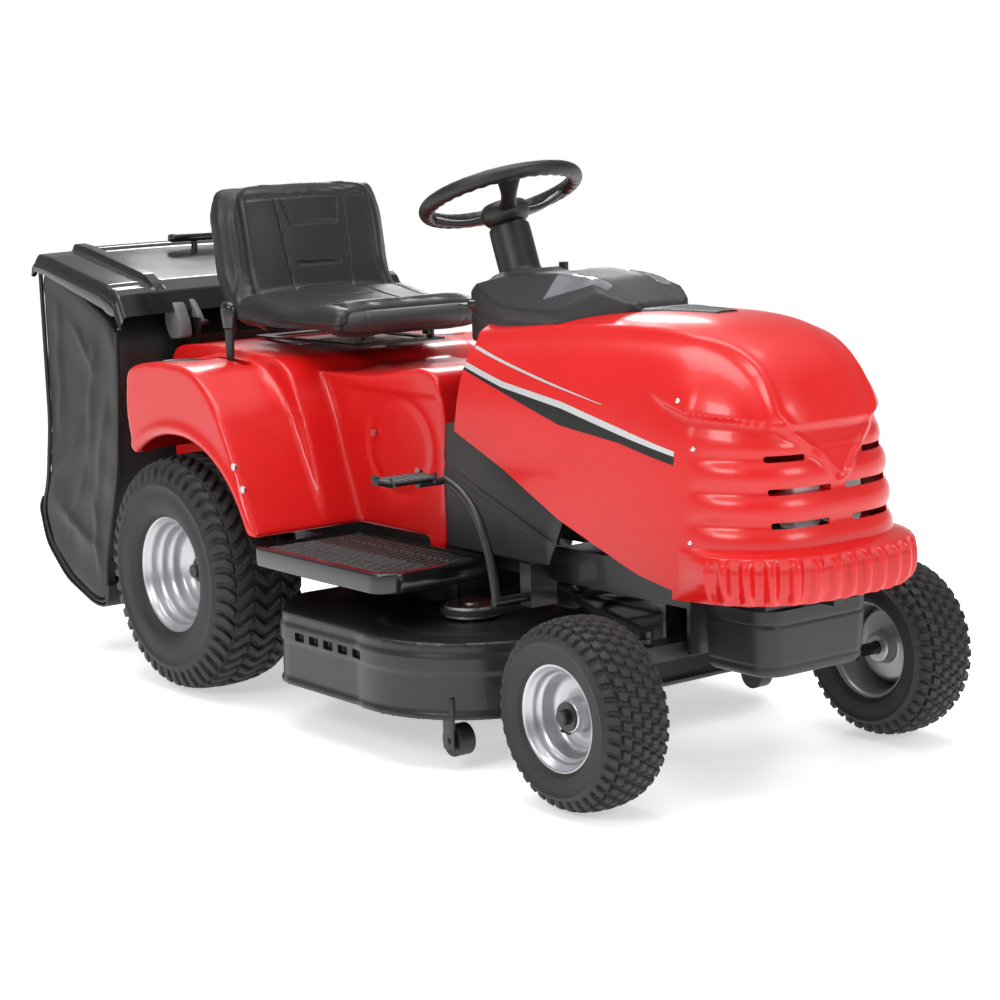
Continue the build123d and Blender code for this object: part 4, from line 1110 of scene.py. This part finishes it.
# ---------------------------------------------------------------- rear body
def make_fender():
    centre = rounded([(-0.282, 0.30), (-0.282, 0.655), (-0.120, 0.668), (0.150, 0.652), (0.205, 0.56),
        (0.255, 0.42), (0.285, 0.338), (0.285, 0.30)], 0.05, steps=8)
    flare = rounded([(-0.190, 0.50), (-0.182, 0.626), (-0.130, 0.642), (-0.040, 0.650), (0.075, 0.642),
        (0.150, 0.585), (0.215, 0.470), (0.285, 0.338), (0.285, 0.30), (-0.05, 0.30)], 0.06, steps=8)
    tunnel = rounded([(0.080, 0.30), (0.080, 0.628), (0.330, 0.628), (0.500, 0.655), (0.545, 0.640),
        (0.566, 0.520), (0.548, 0.30)], 0.04, steps=8)
    body = raw("rear_body", prism(centre, -0.236, 0.236))
    boolean(body, prism(flare, -0.400, 0.400), "UNION")
    boolean(body, prism(tunnel, -0.160, 0.160), "UNION")

    def shrink(outline, amount):
        middle = outline.mean(0)
        span = (outline.max(0) - outline.min(0)) / 2
        return middle + (outline - middle) * (1 - amount / span) - np.array((0, amount))

    boolean(body, prism(shrink(centre, 0.012), -0.224, 0.224))
    boolean(body, prism(shrink(flare, 0.012), -0.386, 0.386))
    boolean(body, prism(shrink(tunnel, 0.012), -0.148, 0.148))
    for hand in (-1, 1):
        arch = revolve([(0.0, 0.236), (0.278, 0.236), (0.272, 0.42), (0.0, 0.42)], (0, 0, REAR_RADIUS),
            (0, hand, 0), 96)
        boolean(body, arch)
    boolean(body, block((-0.40, -0.5, 0.20), (0.5, 0.5, 0.338)))
    for hand in (-1, 1):
        boolean(body, bevelled(block((-0.300, hand * 0.186 - 0.010, 0.590),
            (-0.226, hand * 0.186 + 0.010, 0.70)), 0.003))
    remeshed(body, 0.0045, 10)
    points, out = coordinates(body), normals(body)
    x, y, z = points.T
    side = np.abs(y)
    radius = np.hypot(x, z - 0.235)
    angle = np.arctan2(z - 0.235, x)
    lip = smooth(0.384, 0.394, side) * bump(radius, 0.288, 0.012) * smooth(0.30, 0.5, angle) * smooth(2.6,
        2.3, angle)
    outward = np.sign(y)
    points[:, 1] += outward * 0.006 * lip
    valley_radius = 0.395
    valley = bump(radius, valley_radius, 0.010) * smooth(0.236, 0.262, side) * smooth(0.395, 0.30, side)
    points += out * (-0.004 * valley * smooth(0.2, 0.5, out[:, 2]))[:, None]
    tray = smooth(1.0, 0.86, np.hypot((x + 0.085) / 0.062, (side - 0.315) / 0.050)) * smooth(0.5, 0.8,
        out[:, 2]) * (z > 0.60)
    points[:, 2] -= 0.012 * tray
    crease = bump(z, 0.560 - 0.12 * (x - 0.05), 0.006) * smooth(0.230, 0.234, side) * smooth(0.26, 0.24,
        side)
    points[:, 1] -= outward * 0.002 * crease
    scallop = bump(np.hypot((x - 0.42) / 0.10, (z - 0.50) / 0.09), 1.0, 0.10) * smooth(0.150, 0.158,
        side) * smooth(0.17, 0.162, side)
    points[:, 1] -= outward * 0.0025 * scallop
    step = smooth(0.604, 0.600, z) * smooth(0.152, 0.158, side) * smooth(0.17, 0.162, side) * smooth(0.24,
        0.30, x)
    points[:, 1] -= outward * 0.003 * step
    move_points(body, points)
    soft = body.modifiers.new("soft", "SMOOTH")
    soft.iterations = 2
    evaluated(body)
    slot = bevelled(block((-0.060, -0.273, 0.60), (0.060, -0.251, 0.70)), 0.006)
    boolean(body, slot)
    shift_into_frame(body)
    finish_piece(body, RED, "chassis", ("fender_body",), 50)
    trays = []
    for hand in (-1, 1):
        ring = [(0.0, 0.001), (0.80, 0.0012), (0.93, 0.0016), (0.985, 0.0035), (1.0, 0.0020),
            (0.98, -0.003), (0.0, -0.003)]
        dish = revolve(ring, (0, 0, 0), (0, 0, 1), 64)
        p = dish[0] * np.array((0.056, 0.044, 1)) + np.array((-0.085, hand * 0.315, 0.6385))
        trays.append((p, dish[1]))
    piece("rear_body_trays", *joined(trays), PLASTIC, "chassis", "black_plastic", smooth_angle=40)
    liner = [block((-0.284, -0.230, 0.345), (-0.270, -0.150, 0.56)),
        block((-0.284, 0.150, 0.345), (-0.270, 0.230, 0.56))]
    piece("rear_body_liner", *joined([bevelled(b, 0.004) for b in liner]), PLASTIC, "chassis",
        "black_plastic")


# ---------------------------------------------------------------- dash, column and steering wheel
LEAN_ANGLE = math.radians(21)
WHEEL_AXIS = np.array((-math.sin(LEAN_ANGLE), 0, math.cos(LEAN_ANGLE)))
WHEEL_AHEAD = np.array((math.cos(LEAN_ANGLE), 0, math.sin(LEAN_ANGLE)))
WHEEL_CENTRE = np.array((0.545, 0, 0.965))


def make_steering_wheel():
    steps, around = 288, 24
    rows = []
    for t in np.linspace(0, 2 * math.pi, steps, endpoint=False):
        radial = WHEEL_AHEAD * math.cos(t) + np.array((0, 1, 0)) * math.sin(t)
        row = []
        for a in np.linspace(0, 2 * math.pi, around, endpoint=False):
            inward = max(0.0, -math.cos(a) * 0.7 - math.sin(a) * 0.5)
            grip = 0.0011 * math.cos(36 * t) * inward
            r = 0.0142 + grip
            row.append(WHEEL_CENTRE + radial * (0.142 + r * math.cos(a) * 0.95) + WHEEL_AXIS * r
                * math.sin(a))
        rows.append(row)
    parts = [grid(np.array(rows), wrap_u=True, wrap_v=True)]
    for degrees in (90, 210, 330):
        t = math.radians(degrees)
        radial = WHEEL_AHEAD * math.cos(t) + np.array((0, 1, 0)) * math.sin(t)
        sideways = np.cross(WHEEL_AXIS, radial)
        rows = []
        for share in np.linspace(0, 1, 26):
            reach = 0.026 + 0.112 * share
            height = -0.036 + 0.034 * share ** 2.2
            wide = 0.021 - 0.0070 * math.sin(math.pi * share) + 0.004 * share ** 4
            thick = 0.0062 + 0.0025 * share ** 6
            row = []
            for a in np.linspace(0, 2 * math.pi, 28, endpoint=False):
                c, s = math.cos(a), math.sin(a)
                cw, sw = math.copysign(abs(c) ** 0.6, c), math.copysign(abs(s) ** 0.7, s)
                groove = 0.0022 * math.exp(-((cw * wide) / 0.005) ** 2) * (1 if s > 0 else 0)
                row.append(WHEEL_CENTRE + radial * reach + sideways * wide * cw + WHEEL_AXIS
                    * (height + thick * sw - groove))
            rows.append(row)
        spoke = grid(np.array(rows), wrap_v=True)
        parts.append(with_caps(spoke, [range(28), range(25 * 28, 26 * 28)]))
    hub = rounded([(0.0, -0.0165), (0.026, -0.0165), (0.0285, -0.0195), (0.031, -0.0165), (0.040, -0.019),
        (0.0465, -0.031), (0.0440, -0.046), (0.0340, -0.057), (0.0, -0.057)], 0.004, closed=False, steps=5)
    parts.append(revolve(hub, WHEEL_CENTRE, WHEEL_AXIS, 64))
    piece("steering_wheel_grip", *joined(parts), PLASTIC, "steering", "black_plastic", ("steering_wheel",),
        42)
    sleeve = rounded([(0.0315, -0.060), (0.0375, -0.062), (0.0385, -0.075), (0.0385, -0.150),
        (0.0430, -0.158), (0.0470, -0.176), (0.0480, -0.190), (0.0400, -0.190), (0.0300, -0.170),
        (0.0300, -0.070)], 0.004, steps=4)
    part = revolve(sleeve, WHEEL_CENTRE, WHEEL_AXIS, 72)
    closed = grid(part[0].reshape(72, -1, 3), wrap_u=True, wrap_v=True)
    piece("column_collar", *closed, PLASTIC, "chassis", "black_plastic", ("column_sleeve",), 40)


def make_dash():
    side = rounded([(0.470, 0.700), (0.468, 0.762), (0.500, 0.785), (0.545, 0.800), (0.640, 0.824),
        (0.790, 0.836), (0.885, 0.828), (0.992, 0.786), (0.995, 0.760), (0.660, 0.700)], 0.018, steps=5)
    plan = rounded([(0.500, -0.045), (0.500, 0.045), (0.600, 0.103), (0.700, 0.129), (0.860, 0.132),
        (0.995, 0.062), (0.995, -0.062), (0.860, -0.132), (0.700, -0.129), (0.600, -0.103)], 0.03, steps=8)
    across = rounded([(-0.152, 0.60), (-0.152, 0.752), (-0.128, 0.776), (-0.062, 0.838), (0.062, 0.838),
        (0.128, 0.776), (0.152, 0.752), (0.152, 0.60)], 0.012, steps=4)
    dash = raw("dash_cover", prism(side, -0.2, 0.2))
    boolean(dash, prism(plan, 0.60, 0.90, "z"), "INTERSECT")
    boolean(dash, prism(across, 0.40, 1.10, "x"), "INTERSECT")
    remeshed(dash, 0.0035, 5)
    points, out = coordinates(dash), normals(dash)
    x, y, z = points.T
    rise = 0.010 * bump(np.hypot((x - 0.615) / 0.060, y / 0.060), 0.95, 0.22) * smooth(0.3, 0.7, out[:, 2])
    rib = 0.0025 * bump(np.abs(y), 0.052, 0.004) * smooth(0.70, 0.74, x) * smooth(0.5, 0.8, out[:, 2])
    groove = -0.0020 * bump(z, 0.752, 0.003) * smooth(0.4, 0.7, np.abs(out[:, 1]))
    points += out * (rise + rib + groove)[:, None]
    move_points(dash, points)
    shift_into_frame(dash)
    finish_piece(dash, GREY_PLASTIC, "chassis", ("dash_console",), 45)
    tree = BVHTree.FromPolygons([tuple(p) for p in coordinates(dash) - np.array((AXLE_X, 0, 0))],
        [list(f.vertices) for f in dash.data.polygons])
    parts = []
    for hand in (-1, 1):
        rows = []
        for u in np.linspace(0, 1, 40):
            row = []
            for v in np.linspace(0, 1, 20):
                x = 0.800 + 0.130 * u - 0.010 * v
                y = hand * ((0.112 - 0.038 * u) * (1 - v) + (0.069 - 0.018 * u) * v)
                hit = tree.ray_cast(Vector((x, y, 1.0)), Vector((0, 0, -1)))
                edge = min(u, 1 - u, v * 0.5, (1 - v) * 0.5)
                row.append(np.array(hit[0]) + np.array(hit[1]) * (0.0022 * float(smooth(-0.001, 0.02, edge))
                    - 0.0002))
            rows.append(row)
        parts.append(grid(np.array(rows)))
    piece("dash_windows", *joined(parts), WINDOW, "chassis", "window", ("instrument_window",), 40)
    barrel = revolve([(0.0, 0.0), (0.0085, 0.0), (0.0085, 0.050), (0.0, 0.050)], (0.550, -0.08, 0.768),
        (1, 0, 0), 32)
    blade = bevelled(block((0.526, -0.092, 0.7662), (0.552, -0.068, 0.7698)), 0.001, 2)
    piece("key_grip", *joined([barrel, blade]), STEEL_BLACK, "key", "black_steel", ("ignition_key",), 35)


# ---------------------------------------------------------------- footboards, covers, pedals and lever
def make_footboards():
    for side_name, hand in SIDES.items():
        plan = rounded([(0.290, 0.166), (0.290, 0.415), (0.690, 0.415), (0.716, 0.385), (0.716, 0.166)],
            0.025, steps=6)
        plan = np.array(plan)
        plan[:, 1] *= hand
        board = raw(f"footboard_tray_{side_name}", bevelled(prism(plan, 0.291, 0.329, "z"), 0.005, 3))
        inset = rounded([(0.306, 0.180), (0.306, 0.401), (0.684, 0.401), (0.702, 0.380), (0.702, 0.180)],
            0.02, steps=6)
        inset = np.array(inset)
        inset[:, 1] *= hand
        boolean(board, bevelled(prism(inset, 0.3215, 0.34, "z"), 0.002, 2))
        under = rounded([(0.296, 0.172), (0.296, 0.409), (0.686, 0.409), (0.710, 0.380), (0.710, 0.172)],
            0.02, steps=6)
        under = np.array(under)
        under[:, 1] *= hand
        boolean(board, prism(under, 0.28, 0.316, "z"))
        shift_into_frame(board)
        finish_piece(board, GLOSS, "chassis", (f"footboard_{side_name}",), 30)
    rows_x = np.linspace(0.3085, 0.6965, 330)
    parts = []
    for hand in (-1, 1):
        rows_y = np.linspace(0.1845, 0.3965, 120)
        x, y = np.meshgrid(rows_x, rows_y, indexing="ij")
        bar = smooth(0.30, 0.55, np.cos(2 * np.pi * (x + 0.35 * np.abs(y - 0.29)) / 0.0175))
        field = smooth(0.312, 0.318, x) * smooth(0.693, 0.687, x) * smooth(0.188, 0.194, y) * smooth(0.393,
            0.387, y)
        break_line = smooth(0.0015, 0.004, np.abs(np.abs(y - 0.29) - 0.05))
        z = 0.3245 + 0.0026 * bar * field * break_line
        parts.append(grid(np.stack([x, hand * y, z], -1)))
    mats = raw("foot_mat_pads", joined(parts))
    thicken(mats, 0.0015)
    shift_into_frame(mats)
    finish_piece(mats, GREY_RUBBER, "chassis", ("foot_mats",), 45)


def make_side_cover():
    """Dark cover between the tunnel and the bonnet's lower edge."""
    plan = rounded([(0.955, -0.197), (0.600, -0.197), (0.600, 0.197), (0.955, 0.197)], 0.03, closed=False,
        steps=10)
    plan = resample(plan, 260)
    rows = []
    for x, y in plan:
        top = np.interp(x, (0.600, 0.660, 0.805, 0.955), (0.560, 0.575, 0.520, 0.452))
        low = np.interp(x, (0.600, 0.905, 0.955), (0.344, 0.344, 0.440))
        outward = np.sign(y) if abs(y) > 0.165 else 0
        row = []
        for share in np.linspace(0, 1, 40):
            z = low + (top - low) * share
            belly = 0.006 * math.sin(math.pi * share)
            groove = -0.003 * math.exp(-((z - (0.46 - 0.35 * (x - 0.70))) / 0.006) ** 2)
            row.append((x - (0.004 if not outward else 0) * 0, y + outward * (belly + groove), z))
        rows.append(row)
    cover = raw("column_cover", grid(np.array(rows)))
    thicken(cover, 0.004)
    shift_into_frame(cover)
    finish_piece(cover, GREY_PLASTIC, "chassis", ("side_cover",), 40)


def make_front_cover():
    plan = rounded([(1.225, -0.125), (1.340, -0.125), (1.366, -0.100), (1.366, 0.100), (1.340, 0.125),
        (1.225, 0.125)], 0.02, closed=False, steps=8)
    plan = resample(plan, 200)
    middle = np.array((1.28, 0.0))
    rows = []
    for p in plan:
        row = []
        for z in np.linspace(0.203, 0.315, 60):
            share = (z - 0.203) / 0.112
            taper = 1 - 0.05 * (1 - share) ** 2 - 0.10 * math.exp(-((z - 0.201) / 0.006) ** 2)
            groove = 0.002 * math.exp(-((z - 0.290) / 0.0025) ** 2) + 0.0015 * math.exp(-((z - 0.222)
                / 0.003) ** 2)
            q = middle + (p - middle) * (taper - groove * 10)
            row.append((q[0], q[1], z))
        rows.append(row)
    cover = raw("front_shield", grid(np.array(rows)))
    thicken(cover, 0.004)
    shift_into_frame(cover)
    finish_piece(cover, GREY_PLASTIC, "chassis", ("front_cover",), 40)


def make_controls():
    for side_name, name, body in (("right", "drive_pedal", "drive_pedal"),
            ("left", "brake_pedal", "brake_pedal")):
        hand = SIDES[side_name]
        route = rounded([(0.850, 0.282), (0.838, 0.350), (0.806, 0.424), (0.758, 0.466), (0.712, 0.482)],
            0.05, closed=False, steps=12)
        route = resample(route, 50)
        parts = [tube([(px, hand * 0.270, pz) for px, pz in route], 0.0082, 16),
            tube([(0.850, hand * y, 0.282) for y in np.linspace(0.160, 0.276, 12)], 0.008, 20),
            tube([(0.712, hand * y, 0.481) for y in np.linspace(0.268, 0.330, 10)], 0.0075, 16)]
        piece(f"{name}_arm", *joined(parts), STEEL_BLACK, body, "black_steel", (name,), 40)
        xs, ys = np.linspace(0.680, 0.738, 60), np.linspace(0.300, 0.405, 100)
        x, y = np.meshgrid(xs, ys, indexing="ij")
        corner = ((np.abs(x - 0.709) / 0.029) ** 6 + (np.abs(y - 0.3525) / 0.0525) ** 8)
        rib = smooth(0.1, 0.5, np.cos(2 * np.pi * y / 0.0135)) * smooth(0.9, 0.5, corner)
        top = 0.4915 + 0.0035 * np.clip(1 - corner, 0, 1) ** 0.3 + 0.0016 * rib + 0.05 * (0.709 - x) * 0.12
        squeeze = np.where(corner > 1, corner ** (-1 / 7), 1)
        x2, y2 = 0.709 + (x - 0.709) * squeeze, 0.3525 + (y - 0.3525) * squeeze
        rows = np.stack([x2, hand * y2, top], -1)
        pad = raw(f"{name}_pad", grid(rows))
        wall = pad.modifiers.new("wall", "SOLIDIFY")
        wall.thickness = 0.010
        wall.offset = -1 if hand < 0 else -1
        evaluated(pad)
        shift_into_frame(pad)
        finish_piece(pad, GREY_RUBBER, body, smooth_angle=45)
    bar = rounded([(-0.011, 0.505), (0.011, 0.505), (0.0085, 0.64), (0.0125, 0.70), (0.011, 0.722),
        (-0.013, 0.722), (-0.0135, 0.70), (-0.0085, 0.64)], 0.006, steps=5)
    parts = [bevelled(prism(bar, -0.2665, -0.2585), 0.0015, 2), tube([(0.0, y,
        0.520) for y in np.linspace(-0.268, -0.143, 12)], 0.008, 20)]
    piece("height_lever_bar", *joined(parts), STEEL_BLACK, "height_lever", "black_steel", ("height_lever",),
        40)
    knob = rounded([(0.0, 0.762), (0.010, 0.761), (0.0155, 0.752), (0.0165, 0.735), (0.0140, 0.716),
        (0.0125, 0.706), (0.0, 0.706)], 0.004, closed=False, steps=5)
    part = revolve([(r, z - 0.70) for r, z in knob], (0, 0, 0), (0, 0, 1), 40)
    points = part[0] * np.array((1.25, 0.95, 1)) + np.array((0, -0.262, 0.70))
    piece("height_lever_knob", points, part[1], GLOSS, "height_lever", "black_plastic", smooth_angle=50)


BLADE_X, BLADE_Y = 0.700, 0.212


def make_deck():
    """Pressed steel deck: two blade housings, a side skirt with vents and a rolled lower edge."""
    shell = raw("deck_cover", revolve([(0.0, 0.09), (0.222, 0.09), (0.222, 0.225), (0.0, 0.225)],
        (BLADE_X, BLADE_Y, 0), (0, 0, 1), 96))
    boolean(shell, revolve([(0.0, 0.09), (0.222, 0.09), (0.222, 0.225), (0.0, 0.225)],
        (BLADE_X, -BLADE_Y, 0), (0, 0, 1), 96), "UNION")
    plan = rounded([(0.292, -0.330), (0.400, -0.428), (0.700, -0.428), (0.918, -0.200), (0.918, 0.200),
        (0.700, 0.428), (0.400, 0.428), (0.292, 0.330)], 0.03, steps=6)
    boolean(shell, prism(plan, 0.09, 0.225, "z"), "UNION")
    for hand in (-1, 1):
        boolean(shell, revolve([(0.0, 0.05), (0.212, 0.05), (0.212, 0.185), (0.185, 0.212), (0.0, 0.212)],
            (BLADE_X, hand * BLADE_Y, 0), (0, 0, 1), 96))
    under = rounded([(0.304, -0.322), (0.404, -0.416), (0.700, -0.416), (0.906, -0.190), (0.906, 0.190),
        (0.700, 0.416), (0.404, 0.416), (0.304, 0.322)], 0.03, steps=6)
    boolean(shell, prism(under, 0.05, 0.190, "z"))
    boolean(shell, block((0.270, -0.136, 0.107), (0.330, -0.004, 0.205)))
    remeshed(shell, 0.0045, 7)
    points, out = coordinates(shell), normals(shell)
    x, y, z = points.T
    steep = smooth(0.55, 0.85, np.hypot(out[:, 0], out[:, 1]))
    outer = smooth(0.0, 0.2, out[:, 0] * (x - 0.62) + out[:, 1] * y * 1.2)
    band = smooth(0.168, 0.172, z) * smooth(0.206, 0.202, z)
    flange = smooth(0.104, 0.098, z)
    points += out * ((0.0035 * band + 0.0045 * flange) * steep * outer)[:, None]
    top = smooth(0.6, 0.9, out[:, 2]) * (z > 0.21)
    ring = bump(np.hypot(x - BLADE_X, np.abs(y) - BLADE_Y), 0.150, 0.012)
    points[:, 2] += 0.004 * top * ring + 0.003 * top * bump(np.abs(y), 0.05, 0.010) * smooth(0.5, 0.52, x)
    move_points(shell, points)
    vents = []
    for hand in (-1, 1):
        for k in range(5):
            x0 = 0.455 + 0.046 * k
            vents.append(bevelled(block((x0, hand * 0.431 - 0.012, 0.176),
                (x0 + 0.030, hand * 0.431 + 0.012, 0.192)), 0.003, 2))
    boolean(shell, joined(vents))
    for hand in (-1, 1):
        boolean(shell, revolve([(0.0, 0.18), (0.0127, 0.18), (0.0127, 0.24), (0.0, 0.24)],
            (BLADE_X, hand * BLADE_Y, 0), (0, 0, 1), 32))
    shift_into_frame(shell)
    finish_piece(shell, STEEL_BLACK, "deck", ("deck_shell",), 45)
    plates = []
    for hand in (-1, 1):
        plates.append(bevelled(block((0.828, hand * 0.375 - 0.0025, 0.038),
            (0.858, hand * 0.375 + 0.0025, 0.130)), 0.001, 2))
        plates.append(tube([(0.843, hand * y, 0.052) for y in (0.334, 0.355, 0.380)], 0.005, 16))
        for x in (0.380, 0.560):
            plates.append(bevelled(block((x, hand * 0.157 - 0.003, 0.222),
                (x + 0.030, hand * 0.157 + 0.003, 0.288)), 0.001, 2))
    piece("deck_fittings", *joined(plates), STEEL_BLACK, "deck", "black_steel", smooth_angle=35)


make_seat()
make_bag()
make_lid()
make_fender()
make_steering_wheel()
make_dash()
make_footboards()
make_side_cover()
make_front_cover()
make_controls()
make_deck()
